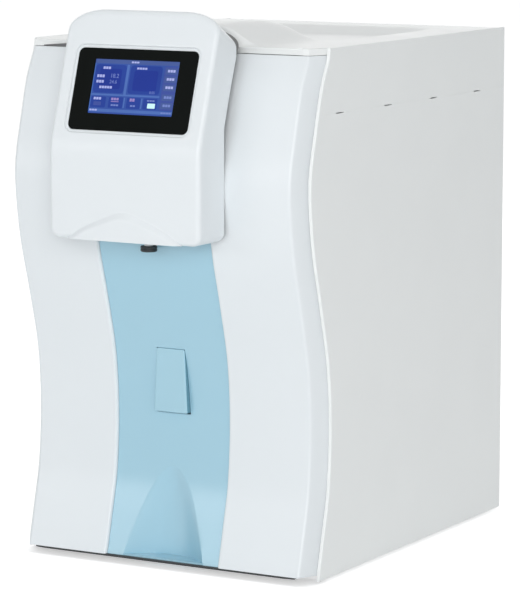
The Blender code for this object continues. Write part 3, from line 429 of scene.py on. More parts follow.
def bevelTop(piece, height, width, steps):
    bevelWhere(piece, lambda edge: all(corner.co.z > height - samePlace for corner in edge.verts),
               width, steps)


def meet(piece, operation, others):
    for other in others:
        finishWith(piece, "BOOLEAN", object=other, operation=operation, solver="EXACT")
        bpy.data.objects.remove(other, do_unlink=True)


def cutWith(piece, *tools):
    meet(piece, "DIFFERENCE", tools)


def mergeWith(piece, *others):
    meet(piece, "UNION", others)


def gather(name, pieces):
    # One object of several loose meshes
    takeUp(pieces[0])
    for other in pieces[1:]:
        other.select_set(True)
    bpy.ops.object.join()
    return rename(pieces[0], name)


def smoothen(piece, angle):
    takeUp(piece)
    bpy.ops.object.shade_smooth_by_angle(angle=math.radians(angle))
    return finishWith(piece, "WEIGHTED_NORMAL", keep_sharp=True, weight=50)


# Shader groups. Each puts out values that change over the surface.

def node(tree, kind, **values):
    made = tree.nodes.new(kind)
    for name, value in values.items():
        setattr(made, name, value)
    return made


def feed(tree, made, inputs):
    # A link is plugged in, and a plain number or colour goes on the socket itself
    for label, value in inputs.items():
        socket = made.inputs[label]
        if isinstance(value, bpy.types.NodeSocket):
            tree.links.new(value, socket)
        else:
            socket.default_value = (*value, 1) if socket.type == "RGBA" else value
    return made


def newGroup(name, inputs, outputs):
    group = bpy.data.node_groups.new(name, "ShaderNodeTree")
    for label, value in inputs.items():
        socket = group.interface.new_socket(label, in_out="INPUT", socket_type="NodeSocketFloat")
        socket.default_value = value
    for label in outputs:
        group.interface.new_socket(label, in_out="OUTPUT", socket_type="NodeSocketFloat")
    return group, node(group, "NodeGroupInput").outputs, node(group, "NodeGroupOutput")


def addGroup(tree, group, values):
    return feed(tree, node(tree, "ShaderNodeGroup", node_tree=group), values).outputs


def mathNode(tree, operation, first, second=None, clamp=False):
    made = node(tree, "ShaderNodeMath", operation=operation, use_clamp=clamp)
    given = {0: first} if second is None else {0: first, 1: second}
    return feed(tree, made, given).outputs[0]


def objectPlace(tree, scale=(1, 1, 1)):
    place = node(tree, "ShaderNodeTexCoord").outputs["Object"]
    mapping = node(tree, "ShaderNodeMapping")
    return feed(tree, mapping, {"Vector": place, "Scale": scale}).outputs["Vector"]


def noise(tree, place, scale, detail=2.0, rough=0.5):
    made = node(tree, "ShaderNodeTexNoise")
    feed(tree, made, {"Vector": place, "Scale": scale, "Detail": detail, "Roughness": rough})
    return made.outputs["Fac"]


def mixColours(tree, mask, first, second):
    made = node(tree, "ShaderNodeMix", data_type="RGBA")
    return feed(tree, made, {0: mask, 6: first, 7: second}).outputs[2]


def spread(tree, tone, low, high, start=0.0, end=1.0, kind="LINEAR"):
    made = node(tree, "ShaderNodeMapRange", interpolation_type=kind)
    feed(tree, made, {"Value": tone, "From Min": start, "From Max": end,
                      "To Min": low, "To Max": high})
    return made.outputs["Result"]


def makeMouldGrain():
    # Fine spark-eroded grain of a moulding, with the slow flow marks of the melt
    group, given, out = newGroup("mouldGrain", {"Grain Scale": 2600, "Flow Scale": 9,
                                                "Flow": 0.35}, ("Height", "Tone"))
    place = objectPlace(group)
    drift = noise(group, place, given["Flow Scale"], rough=0.45)
    flow = mathNode(group, "MULTIPLY", mathNode(group, "SUBTRACT", drift, 0.5), given["Flow"])
    feed(group, out, {"Height": noise(group, place, given["Grain Scale"], detail=3, rough=0.6),
                      "Tone": mathNode(group, "ADD", flow, 0.5, True)})
    return group


peel = {"finer": 3.1, "coarse": 0.7, "fine": 0.3}


def makePowderPeel():
    # Orange peel of a baked powder coat: round low bumps of two sizes
    group, given, out = newGroup("powderPeel", {"Peel Scale": 420, "Patch Scale": 14},
                                 ("Height", "Tone"))
    place = objectPlace(group)
    finer = mathNode(group, "MULTIPLY", given["Peel Scale"], peel["finer"])
    coarse = noise(group, place, given["Peel Scale"], detail=1, rough=0.4)
    fine = noise(group, place, finer, detail=1)
    height = mathNode(group, "ADD", mathNode(group, "MULTIPLY", coarse, peel["coarse"]),
                      mathNode(group, "MULTIPLY", fine, peel["fine"]))
    feed(group, out, {"Height": height, "Tone": noise(group, place, given["Patch Scale"])})
    return group


dust = {"tone": (0.60, 0.60, 0.57), "dulling": 0.3, "sharpness": 4}


def makeSettledDust():
    # Faint dust where a surface looks up, thicker in patches
    group, given, out = newGroup("settledDust", {"Amount": 0.4, "Patch Scale": 22}, ("Mask",))
    facing = node(group, "ShaderNodeNewGeometry").outputs["Normal"]
    height = feed(group, node(group, "ShaderNodeSeparateXYZ"), {0: facing}).outputs["Z"]
    upward = mathNode(group, "POWER", mathNode(group, "MAXIMUM", height, 0.0), dust["sharpness"])
    patch = noise(group, objectPlace(group), given["Patch Scale"], detail=5, rough=0.6)
    amount = mathNode(group, "MULTIPLY", patch, given["Amount"])
    feed(group, out, {"Mask": mathNode(group, "MULTIPLY", upward, amount, True)})
    return group


def makeRolledGrain():
    # Long fine lines that rolling leaves along a sheet
    group, given, out = newGroup("rolledGrain", {"Line Scale": 900, "Patch Scale": 18},
                                 ("Height", "Tone"))
    along = objectPlace(group, (1, 1, 0.02))
    feed(group, out, {"Height": noise(group, along, given["Line Scale"], detail=3, rough=0.7),
                      "Tone": noise(group, objectPlace(group), given["Patch Scale"], detail=3)})
    return group


mouldGrain = makeMouldGrain()
powderPeel = makePowderPeel()
settledDust = makeSettledDust()
rolledGrain = makeRolledGrain()


def startMaterial(name, roughness, metallic=0.0, specular=0.5):
    material = bpy.data.materials.new(name)
    material.use_nodes = True
    tree = material.node_tree
    shader = feed(tree, tree.nodes["Principled BSDF"],
                  {"Roughness": roughness, "Metallic": metallic, "Specular IOR Level": specular})
    return material, tree, shader


def addBump(tree, shader, height, distance):
    bump = feed(tree, node(tree, "ShaderNodeBump"), {"Height": height, "Distance": distance})
    feed(tree, shader, {"Normal": bump.outputs["Normal"]})


def coated(name, light, deep, surface, gloss, relief, dustAmount, dulling=0.0, specular=0.5):
    # A coloured coat that drifts in tone and gloss, with dust settled on it
    material, tree, shader = startMaterial(name, sum(gloss) / 2, specular=specular)
    coat = addGroup(tree, *surface)
    settled = addGroup(tree, settledDust, {"Amount": dustAmount})["Mask"]
    colour = mixColours(tree, coat["Tone"], deep, light)
    rough = mathNode(tree, "ADD", spread(tree, coat["Tone"], gloss[1], gloss[0]),
                     mathNode(tree, "MULTIPLY", settled, dulling))
    feed(tree, shader, {"Base Color": mixColours(tree, settled, colour, dust["tone"]),
                        "Roughness": rough})
    addBump(tree, shader, coat["Height"], relief)
    return material


def mouldedPlastic(name, light, deep, gloss=(0.30, 0.40), grain=2600, relief=0.000012,
                   dustAmount=0.25, specular=0.5):
    return coated(name, light, deep, (mouldGrain, {"Grain Scale": grain}), gloss, relief,
                  dustAmount, dust["dulling"], specular)


def powderCoat(name, light, deep):
    return coated(name, light, deep, (powderPeel, {}), gloss=(0.34, 0.44), relief=0.00004,
                  dustAmount=0.25)


def bareMetal(name, light, deep, gloss=(0.28, 0.42), metallic=1.0):
    material, tree, shader = startMaterial(name, sum(gloss) / 2, metallic)
    sheet = addGroup(tree, rolledGrain, {})
    feed(tree, shader, {"Base Color": mixColours(tree, sheet["Tone"], deep, light),
                        "Roughness": spread(tree, sheet["Height"], *gloss)})
    addBump(tree, shader, sheet["Height"], distance=0.00001)
    return material


def glow(name, colour, shade):
    # A lit part of the screen, a little uneven as a backlight is
    material, tree, shader = startMaterial(name, 0.25, specular=0.2)
    lit = mixColours(tree, noise(tree, objectPlace(tree), 45, detail=1), shade, colour)
    feed(tree, shader, {"Base Color": (0.004, 0.004, 0.006), "Emission Color": lit,
                        "Emission Strength": 1.0})
    return material


def blackGlass():
    # Printed black border under clear touch glass, with a faint film of wiping marks
    material, tree, shader = startMaterial("blackGlass", 0.12, specular=0.06)
    smear = noise(tree, objectPlace(tree, (1, 0.3, 0.3)), 60, detail=4, rough=0.6)
    black = mixColours(tree, smear, (0.0022, 0.0034, 0.0030), (0.0045, 0.0058, 0.0052))
    feed(tree, shader, {"Base Color": black, "Roughness": spread(tree, smear, 0.08, 0.20)})
    addBump(tree, shader, smear, distance=0.000002)
    return material


whiteShell = mouldedPlastic("whiteShell", (0.805, 0.845, 0.865), (0.775, 0.815, 0.840))
coverShell = mouldedPlastic("coverShell", (0.862, 0.880, 0.876), (0.832, 0.852, 0.848))
paleBlue = mouldedPlastic("paleBlue", (0.352, 0.594, 0.712), (0.322, 0.564, 0.687),
                          gloss=(0.24, 0.33), dustAmount=0.15, specular=1.0)
flapBlue = mouldedPlastic("flapBlue", (0.362, 0.604, 0.716), (0.332, 0.574, 0.691),
                          gloss=(0.24, 0.33), dustAmount=0.1, specular=1.0)
# Painted shade: a deeper copy of the flap's blue, for its shaded right flank
flapShadeBlue = mouldedPlastic("flapShadeBlue", (0.150, 0.320, 0.400), (0.130, 0.290, 0.370),
                          dustAmount=0.1)
sideEnamel = powderCoat("sideEnamel", (0.880, 0.903, 0.898), (0.855, 0.878, 0.873))
rearEnamel = powderCoat("rearEnamel", (0.70, 0.72, 0.72), (0.66, 0.68, 0.68))
darkPlastic = mouldedPlastic("darkPlastic", (0.020, 0.021, 0.023), (0.014, 0.015, 0.017),
                             gloss=(0.32, 0.46), relief=0.00003, dustAmount=0.06)
blackRubber = mouldedPlastic("blackRubber", (0.022, 0.022, 0.022), (0.014, 0.014, 0.014),
                             gloss=(0.70, 0.85), grain=1400, relief=0.00006, dustAmount=0.10)
tipPlastic = mouldedPlastic("tipPlastic", (0.006, 0.011, 0.014), (0.004, 0.008, 0.010),
                            gloss=(0.40, 0.52), dustAmount=0.02)
# Grey rubber of the head's seal, also the dark of the strips that paint the shade in the gaps by
# the head
sealAndPaintedShade = mouldedPlastic("sealAndPaintedShade", (0.175, 0.178, 0.180), (0.140, 0.143, 0.145),
                            gloss=(0.60, 0.75), grain=1400, relief=0.00004, dustAmount=0.10)
whiteFitting = mouldedPlastic("whiteFitting", (0.78, 0.80, 0.80), (0.74, 0.76, 0.76),
                              gloss=(0.28, 0.38))
greyFitting = mouldedPlastic("greyFitting", (0.22, 0.24, 0.25), (0.18, 0.20, 0.21))
filterWhite = mouldedPlastic("filterWhite", (0.78, 0.80, 0.81), (0.74, 0.76, 0.78))
tubeWhite = mouldedPlastic("tubeWhite", (0.70, 0.76, 0.80), (0.64, 0.71, 0.76),
                           gloss=(0.20, 0.30))
chassisSteel = bareMetal("chassisSteel", (0.58, 0.59, 0.60), (0.50, 0.51, 0.52), metallic=0.9)
brightSteel = bareMetal("brightSteel", (0.66, 0.66, 0.67), (0.58, 0.58, 0.59), (0.14, 0.24))
bladeMetal = bareMetal("bladeMetal", (0.70, 0.68, 0.62), (0.62, 0.60, 0.55), (0.16, 0.26))
boardGreen = mouldedPlastic("boardGreen", (0.020, 0.165, 0.070), (0.014, 0.120, 0.050),
                            grain=900, relief=0.00002)
blackBezel = blackGlass()
print("materials mixed")


def paint(piece, material):
    piece.data.materials.clear()
    piece.data.materials.append(material)


def dress(piece, material, nodeName=None, body="cabinet"):
    if material:
        paint(piece, material)
    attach(piece, body)
    if nodeName:
        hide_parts(nodeName)


# White front wings

wing = {"rows": 96, "edgeRadius": 0.0032, "cornerRadius": 0.004, "recess": 0.0035,
        "ledgeReach": 0.006, "ledgeGap": 0.0007, "edgeSteps": 6, "cornerSteps": 8,
        "rimBreak": 0.0004, "returnStart": 0.001, "plainFrom": 0.08, "plainTo": 0.14}


def wingSection():
    face = frontLine(case["frontFoot"])
    ledge = face + wing["recess"] + case["shellWall"] + wing["ledgeGap"]
    turn = math.atan2(case["bandDepth"], case["innerHalf"] - case["frontHalf"])
    setIn = wing["cornerRadius"] * math.tan(turn / 2)
    small, large = wing["edgeRadius"], wing["cornerRadius"]
    points = [(case["panelHalf"] - wing["ledgeReach"], ledge), (case["panelHalf"], ledge)]
    points += arcPoints((case["panelHalf"] + small, face + small), (small, small),
                        math.pi, 1.5 * math.pi, wing["edgeSteps"])
    points += arcPoints((case["frontHalf"] - setIn, face + large), (large, large),
                        -math.pi / 2, turn - math.pi / 2, wing["cornerSteps"])
    points += [(case["innerHalf"], face + case["bandDepth"]),
               (case["innerHalf"], case["bulkheadY"] - case["gap"])]
    return [(x, y, case["frontFoot"]) for x, y in points]


def faceWingOut():
    faceOut(lambda middle: wing["plainFrom"] < abs(middle.x) < wing["plainTo"], (0, -1, 0))


def makeWings():
    # The section is pulled up the S, and its straight return is then flattened against the
    # bulkhead.
    right = drawLine("whiteWingRight", wingSection())
    heights = levels(case["frontFoot"], case["frontTop"], wing["rows"])
    for low, high in zip(heights, heights[1:]):
        push((0, frontLine(high) - frontLine(low), high - low))
    pick("VERT", lambda corner: abs(corner.co.x - case["innerHalf"]) < samePlace
         and corner.co.y > frontLine(corner.co.z) + case["bandDepth"] + wing["returnStart"])
    bpy.ops.transform.resize(value=(1, 0, 1),
                             center_override=(0, case["bulkheadY"] - case["gap"], 0))
    faceWingOut()
    left = openMirror(right, "whiteWingLeft")
    faceWingOut()
    for piece, nodeName in ((right, "right_wing"), (left, "left_wing")):
        giveWall(piece, case["shellWall"])
        breakEdges(piece, wing["rimBreak"])
        dress(smoothen(piece, 35), whiteShell, nodeName)


makeWings()
print("wings made")

# Pale blue centre panel with its vessel niche, the floor under it, and a dark strip that paints
# the shadow line under the front

niche = {"height": 0.092, "halfWidth": 0.0465, "depth": 0.0225, "spread": 0.060, "neck": 0.02,
         "softening": 0.9, "slope": 0.9,
         "innerShares": (0, 0.14, 0.28, 0.42, 0.56, 0.69, 0.81, 0.91, 0.97, 1),
         "flankShares": (0.15, 0.4, 0.7, 1)}
panel = {"recess": 0.0035, "nicheRows": 44, "upperRows": 76, "rimBreak": 0.0003,
         "plainFrom": 0.4, "toolBehind": 0.07, "toolLength": 0.08,
         "armHole": ((-0.028, -0.21, 0.3975), (0.028, -0.11, 0.4385)),
         "stemHole": 0.0048, "stemPlace": (0, -0.12, 0.3292)}
nicheFloor = {"lap": 0.0008, "setBack": 0.0002, "thickness": 0.0016, "steps": 36}
shadowPlinth = {"setBack": 0.0012, "depth": 0.012, "half": 0.150, "taper": 0.012, "sweep": 0.0018,
          "foot": 0.0063, "lap": 0.0002, "rimBreak": 0.0004}
flap = {"topWidth": 0.032, "footWidth": 0.038, "length": 0.064, "foot": 0.155,
        "standOut": 0.0070, "thickness": 0.009, "sideGap": 0.0003, "footGap": 0.0016,
        "corner": 0.0016, "edge": 0.0012, "sheet": 0.0013, "pivotDrop": 0.005,
        "pivotDepth": 0.0135, "lugWidth": 0.024, "lugRadius": 0.004, "neckLap": 0.001,
        "pinRadius": 0.0018, "nubDrop": 0.014, "nubRadius": 0.0025, "nubLap": 0.002,
        "nubEdge": 0.001, "shadedFlankShare": 0.5}
flapFace = frontLine(flap["foot"]) + panel["recess"] - flap["standOut"]


def nicheWidth(z):
    drop = (case["frontFoot"] + niche["height"] - z) / niche["height"]
    if drop > 0:
        return niche["halfWidth"] * max(math.sqrt(drop), niche["neck"])
    climb = min(1, -drop * niche["height"] / niche["spread"])
    return niche["halfWidth"] * max(climb, niche["neck"])


def panelDepth(x, z):
    drop = max(0, (case["frontFoot"] + niche["height"] - z) / niche["height"])
    hollow = max(0, 1 - (x / nicheWidth(z)) ** 2) ** (1 + niche["softening"] * (1 - drop))
    return frontLine(z) + panel["recess"] + niche["depth"] * drop ** niche["slope"] * hollow


def panelRow(z):
    edge = case["panelHalf"] - case["gap"]
    inner = nicheWidth(z)
    right = [inner * share for share in niche["innerShares"]]
    right += [inner + (edge - inner) * share for share in niche["flankShares"]]
    across = [-x for x in reversed(right[1:])] + right
    return [Vector((x, panelDepth(x, z), z)) for x in across]


def flapOutline(sideSpare, footSpare):
    top = flap["topWidth"] / 2 + sideSpare
    foot = flap["footWidth"] / 2 + sideSpare
    low = flap["foot"] - footSpare
    high = flap["foot"] + flap["length"] + sideSpare
    return [(-foot, low), (foot, low), (top, high), (-top, high)]


def makeCentrePanel():
    apex = case["frontFoot"] + niche["height"]
    heights = levels(case["frontFoot"], apex, panel["nicheRows"])
    heights += levels(apex, case["frontTop"], panel["upperRows"])[1:]
    piece = drawRows("blueCentrePanel", [panelRow(z) for z in heights])
    faceOut(lambda middle: middle.z > panel["plainFrom"], (0, -1, 0))
    giveWall(piece, case["shellWall"])
    opening = plate("flapOpening", flapOutline(flap["sideGap"], flap["footGap"]),
                    panel["toolLength"], (0, flapFace + panel["toolBehind"], 0), forward)
    cutWith(piece, opening, block("armHole", *panel["armHole"]),
            rod("stemHole", panel["stemHole"], panel["toolLength"], panel["stemPlace"], forward))
    breakEdges(piece, panel["rimBreak"])
    dress(smoothen(piece, 30), paleBlue, "centre_panel")


def makeNicheFloor():
    # Closes the niche below, with the straight front edge of the panel
    half = niche["halfWidth"] - nicheFloor["lap"]
    front = frontLine(case["frontFoot"]) + panel["recess"] + nicheFloor["setBack"]
    outline = [(half, front), (-half, front)]
    outline += [(x, panelDepth(x, case["frontFoot"]) + nicheFloor["lap"])
                for x in levels(-half, half, nicheFloor["steps"])]
    piece = plate("nicheFloor", outline, nicheFloor["thickness"], (0, 0, case["frontFoot"]))
    dress(smoothen(piece, 35), paleBlue)


def makeShadowPlinth():
    # Painted shadow: a dark strip that shows as the shadow line under the front
    front = frontLine(case["frontFoot"]) + shadowPlinth["setBack"]
    half = shadowPlinth["half"]
    left = [(-half, front + shadowPlinth["depth"]), (-half, front + shadowPlinth["sweep"]),
            (-half + shadowPlinth["taper"], front)]
    piece = plate("frontShadowPlinth", left + mirrored(left),
                  case["frontFoot"] + shadowPlinth["lap"] - shadowPlinth["foot"])
    breakEdges(piece, shadowPlinth["rimBreak"])
    stand(piece, (0, 0, shadowPlinth["foot"]))
    dress(smoothen(piece, 30), darkPlastic)


makeCentrePanel()
makeNicheFloor()
makeShadowPlinth()
print("centre panel made")

# Dispense flap, with its hinge lug and the nub that presses the switch

def makeFlap():
    back = flapFace + flap["thickness"]
    pivotY = flapFace + flap["pivotDepth"]
    pivotZ = flap["foot"] + flap["length"] - flap["pivotDrop"]
    radius, half = flap["lugRadius"], flap["lugWidth"] / 2
    piece = plate("dispenseFlap", flapOutline(0, 0), flap["thickness"])
    bevelWhere(piece, lambda edge: abs((edge.verts[0].co - edge.verts[1].co).z)
               > flap["thickness"] / 2, flap["corner"], steps=5)
    bevelTop(piece, flap["thickness"], flap["edge"], steps=4)
    stand(piece, (0, back, 0), forward)
    neck = block("lugNeck", (-half, back - flap["neckLap"], pivotZ - radius),
                 (half, pivotY, pivotZ + radius))
    lug = rod("lugRound", radius, flap["lugWidth"], (-half, pivotY, pivotZ), rightward, steps=40)
    reach = pivotY + radius + case["gap"] - back + flap["nubLap"]
    nub = pin("flapNub", flap["nubRadius"], reach, flap["nubEdge"],
              (0, back - flap["nubLap"], pivotZ - flap["nubDrop"]), backward, steps=32)
    mergeWith(piece, neck, lug, nub)
    cutWith(piece, rod("lugBore", flap["pinRadius"], panel["toolLength"],
                       (-panel["toolLength"] / 2, pivotY, pivotZ), rightward))
    dress(smoothen(piece, 35), flapBlue, "dispense_lever", "lever")
    # Painted shade: the flap's right flank behind its face sheet gets a deeper blue than its
    # face, for the shade on that side
    piece.data.materials.append(flapShadeBlue)
    openMesh(piece)
    pick("FACE", lambda side: middleOf(side).y > flapFace + flap["sheet"]
         and side.normal.x > flap["shadedFlankShare"])
    piece.active_material_index = 1
    bpy.ops.object.material_slot_assign()
    putDown()


makeFlap()
print("flap made")

# Side panels: one sheet each, with four slots joined by a fine crease

sidePanel = {"rows": 96, "edge": 0.0011, "edgeReach": 0.0010, "innerGap": 0.0002,
             "slot": (0.016, 0.0011), "slotCorner": 0.0005, "slotDepth": 0.0038,
             "slotZ": 0.457, "slotFirst": 0.048, "slotPitch": 0.101, "slotCount": 4,
             "toolLength": 0.012, "crease": (0.00014, 0.00010), "creaseLength": 0.6,
             "creaseSpare": 0.05}


def makeSidePanels():
    heights = levels(case["frontFoot"], case["frontTop"], sidePanel["rows"])
    outline = [(frontLine(z) + case["bandDepth"] - sidePanel["edgeReach"], z) for z in heights]
    outline[0] = (outline[0][0], case["bottom"])
    outline[-1] = (outline[-1][0], case["top"])
    outline += [(case["backY"], case["top"]), (case["backY"], case["bottom"])]
    wall = case["sideWall"] + sidePanel["innerGap"]
    right = plate("sidePanelRight", outline, wall)
    bevelTop(right, wall, sidePanel["edge"], steps=3)
    stand(right, (case["halfWidth"] - wall, 0, 0), onSide)
    for i in range(sidePanel["slotCount"]):
        middle = (case["frontY"] + sidePanel["slotFirst"] + sidePanel["slotPitch"] * i
                  + sidePanel["slot"][0] / 2)
        place = (case["halfWidth"] - sidePanel["slotDepth"], middle, sidePanel["slotZ"])
        cutWith(right, slab("sideSlot", sidePanel["slot"], sidePanel["slotCorner"],
                            sidePanel["toolLength"], place, onSide, steps=5))
    wide, deep = sidePanel["crease"]
    place = (case["halfWidth"], case["backY"] + sidePanel["creaseSpare"], sidePanel["slotZ"])
    cutWith(right, plate("sideCrease", [(0, -deep), (wide, 0), (0, deep), (-wide, 0)],
                         sidePanel["creaseLength"], place, forward))
    left = openMirror(right, "sidePanelLeft")
    closeUp()
    for piece, nodeName in ((right, "right_side_panel"), (left, "left_side_panel")):
        dress(smoothen(piece, 30), sideEnamel, nodeName)


makeSidePanels()
print("side panels made")

# Top cover with its raised cowl and shallow tray

cover = {"cowlHeight": 0.0205, "cowlFlat": 0.040, "cowlFade": 0.070, "cowlRise": 0.012,
         "cowlCrest": 0.075, "cowlLength": 0.275, "trayDepth": 0.008, "trayHalf": 0.127,
         "trayFront": 0.130, "trayBack": 0.371, "traySlope": 0.042, "riseRows": 12,
         "rows": 56, "columns": 26, "wall": 0.0019, "edge": 0.0012, "skirtStart": 0.001,
         "upright": 0.05, "level": 0.5, "crestRise": 0.01, "slotDepth": 0.0020,
         "slotFlat": 0.141, "slotHalf": 0.150, "slotSteps": 30, "slotWall": 0.0016,
         "slotLap": 0.0005, "faceLap": 0.0002}


def coverHeight(x, y):
    rise = softStep((y - frontLine(case["frontTop"])) / cover["cowlRise"])
    fall = 1 - softStep((y - case["frontY"] - cover["cowlCrest"])
                        / (cover["cowlLength"] - cover["cowlCrest"]))
    side = 1 - softStep((abs(x) - cover["cowlFlat"]) / cover["cowlFade"])
    along = min(y - case["frontY"] - cover["trayFront"],
                case["frontY"] + cover["trayBack"] - y) / cover["traySlope"]
    across = (cover["trayHalf"] - abs(x)) / cover["traySlope"]
    tray = cover["trayDepth"] * softStep(along) * softStep(across)
    return case["top"] + cover["cowlHeight"] * rise * fall * side - tray


def coverRow(depth, span):
    front = frontLine(case["frontTop"])
    right = levels(0, case["frontHalf"], cover["columns"]) + [case["innerHalf"]]
    row = []
    for x in [-x for x in reversed(right[1:])] + right:
        outside = max(0, abs(x) - case["frontHalf"]) / (case["innerHalf"] - case["frontHalf"])
        y = front + depth + case["bandDepth"] * outside * (1 - depth / span)
        row.append(Vector((x, y, coverHeight(x, y))))
    return row


def slotLine(spare=0.0):
    # Back of the shadow gap over the wings, deepest behind the head and run out at its ends
    front = frontLine(case["frontTop"])
    fade = cover["slotHalf"] - cover["slotFlat"]
    line = []
    for x in levels(-cover["slotHalf"], cover["slotHalf"], cover["slotSteps"]):
        share = 1 - smoothStep((abs(x) - cover["slotFlat"]) / fade)
        line.append((x, front + cover["slotDepth"] * share + spare))
    return line


def onSkirtRim(edge):
    # An outer edge that gets a skirt: all round but over the shadow gap
    middle = middleOf(edge)
    overSlot = (middle.y < frontLine(case["frontTop"]) + cover["faceLap"]
                and abs(middle.x) < cover["slotHalf"])
    return edge.is_boundary and not overSlot


def onTopEdge(edge):
    # An edge where the top turns down into the skirt
    steepness = [abs(face.normal.z) for face in edge.link_faces]
    return (middleOf(edge).z > case["top"] - cover["skirtStart"]
            and min(steepness) < cover["upright"] and max(steepness) > cover["level"])


def makeTopCover():
    span = case["rearY"] + case["gap"] + case["shellWall"] - frontLine(case["frontTop"])
    depths = levels(0, cover["cowlRise"], cover["riseRows"])
    depths += levels(cover["cowlRise"], span, cover["rows"])[1:]
    piece = drawRows("topCover", [coverRow(depth, span) for depth in depths])
    pick("EDGE", onSkirtRim)
    push((0, 0, -cover["skirtStart"]))
    bpy.ops.transform.resize(value=(1, 1, 0), center_override=(0, 0, case["lip"]))
    faceOut(lambda middle: middle.z > case["top"] + cover["crestRise"], (0, 0, 1))
    giveWall(piece, cover["wall"])
    bevelWhere(piece, onTopEdge, cover["edge"], steps=4)
    dress(smoothen(piece, 35), coverShell, "top_cover")
    reveal = plate("coverReveal", slotLine() + slotLine(cover["slotWall"])[::-1],
                   case["top"] - cover["wall"] - case["lip"] + cover["slotLap"],
                   (0, 0, case["lip"]))
    dress(smoothen(reveal, 35), coverShell)


coverShadeStrip = {"near": 0.104, "far": 0.1485, "behind": 0.030, "tall": 0.0046, "low": 0.0008,
             "wall": 0.0012, "lap": 0.0001, "rimBreak": 0.0002}


def makeCoverShadeStrip():
    # Painted shade: a dark strip that stands out of the gap on the left only, taller towards the
    # head, in place of the head's shadow there
    foot, near, far = case["lip"] - coverShadeStrip["lap"], coverShadeStrip["near"], coverShadeStrip["far"]
    hidden = -near + coverShadeStrip["behind"]
    outline = [(-far, foot), (hidden, foot), (hidden, foot + coverShadeStrip["tall"]),
               (-near, foot + coverShadeStrip["tall"]), (-far, foot + coverShadeStrip["low"])]
    piece = plate("coverShadeStrip", outline, coverShadeStrip["wall"])
    breakEdges(piece, coverShadeStrip["rimBreak"], angle=50)
    stand(piece, (0, frontLine(case["frontTop"]) + cover["slotDepth"] + coverShadeStrip["lap"], 0),
          forward)
    dress(smoothen(piece, 30), sealAndPaintedShade)


makeTopCover()
makeCoverShadeStrip()
print("top cover made")

# Control head

head = {"half": 0.085, "frontY": -0.2465, "rearY": -0.2000, "base": 0.3345, "bendZ": 0.425,
        "crest": 0.554, "tilt": math.radians(17.8), "bendRadius": 0.050, "rearBendZ": 0.443,
        "rearTilt": math.radians(16), "rearStop": -0.1765, "rearDrop": 0.016,
        "cornerWidth": 0.040, "cornerHeight": 0.020, "footRadius": 0.010, "edgeRadius": 0.005,
        "edgeSteps": 8, "cornerSteps": 14, "footSteps": 7, "columns": 14,
        "spacing": (0.012, 0.002, 0.004, 0.009), "rearShares": (0.33, 0.67, 1.0),
        "plainDepth": 0.001}
seal = {"inset": 0.0007, "width": 0.0011, "depth": 0.0007, "shadeExtra": 0.0080, "low": 0.520,
        "high": 0.546, "gap": 0.0001}


def headLine(z):
    halfBend = head["bendRadius"] * math.tan(head["tilt"] / 2)
    above = z - head["bendZ"]
    if above <= -halfBend:
        return head["frontY"]
    if above >= halfBend * math.cos(head["tilt"]):
        return head["frontY"] + above * math.tan(head["tilt"])
    run = above + halfBend
    return head["frontY"] + head["bendRadius"] - math.sqrt(head["bendRadius"] ** 2 - run ** 2)


def headRearLine(z):
    lean = head["rearY"] + max(0, z - head["rearBendZ"]) * math.tan(head["rearTilt"])
    return min(lean, head["rearStop"])


def headRearHeight(z):
    share = (z - head["rearBendZ"]) / (head["crest"] - head["rearBendZ"])
    return z - head["rearDrop"] * smoothStep(share)


def headOutline(inset):
    # Right half seen from the front, foot to crest. Each corner keeps its number at any inset.
    low, high = head["base"] + inset, head["crest"] - inset
    half, small = head["half"] - inset, head["footRadius"] - inset
    wide, tall = head["cornerWidth"] - inset, head["cornerHeight"] - inset
    points = arcPoints((half - small, low + small), (small, small), -math.pi / 2, 0,
                       head["footSteps"])
    turn = head["bendRadius"] * math.tan(head["tilt"] / 2)
    marks = [low + small, head["bendZ"] - turn, head["bendZ"] + turn, head["rearBendZ"],
             high - tall]
    for near, far, step in zip(marks, marks[1:], head["spacing"]):
        count = max(1, round((far - near) / step))
        points += [(half, z) for z in levels(near, far, count)[1:]]
    return points[:-1] + arcPoints((half - wide, high - tall), (wide, tall), 0, math.pi / 2,
                                   head["cornerSteps"])


def headRing(inset):
    # Whole outline on the front face: right side up, crest, left side down, foot
    right = headOutline(inset)
    (footX, low), (crestX, high) = right[0], right[-1]
    crest = [(x, high) for x in levels(crestX, -crestX, head["columns"])[1:-1]]
    foot = [(x, low) for x in levels(-footX, footX, head["columns"])[1:-1]]
    return right + crest + mirrored(right) + foot


def makeHeadShell():
    # The face is drawn from foot to crest, and its rim rolled over and led back to the rear
    radius, steps = head["edgeRadius"], head["edgeSteps"]
    rows = [[Vector((x, headLine(z), z)) for x in levels(-half, half, head["columns"])]
            for half, z in headOutline(radius)]
    piece = drawRows("headShell", rows)
    pick("EDGE", lambda edge: edge.is_boundary)
    bpy.ops.mesh.select_mode(type="VERT")
    rings = []
    for angle in levels(math.pi / 2, 0, steps):
        setBack = radius * (1 - math.sin(angle))
        rings.append([Vector((x, headLine(z) + setBack, z))
                      for x, z in headRing(radius * (1 - math.cos(angle)))])
    rear = [Vector((x, headRearLine(z), headRearHeight(z))) for x, z in headRing(0)]
    rings += [[near.lerp(far, share) for near, far in zip(rings[steps], rear)]
              for share in head["rearShares"]]
    growRows(rings)
    faceOut(lambda middle: middle.y < head["frontY"] + head["plainDepth"], (0, -1, 0))
    return giveWall(piece, case["shellWall"])


# Display: black frame in a shallow recess of the tilted face, and the lit screen behind it

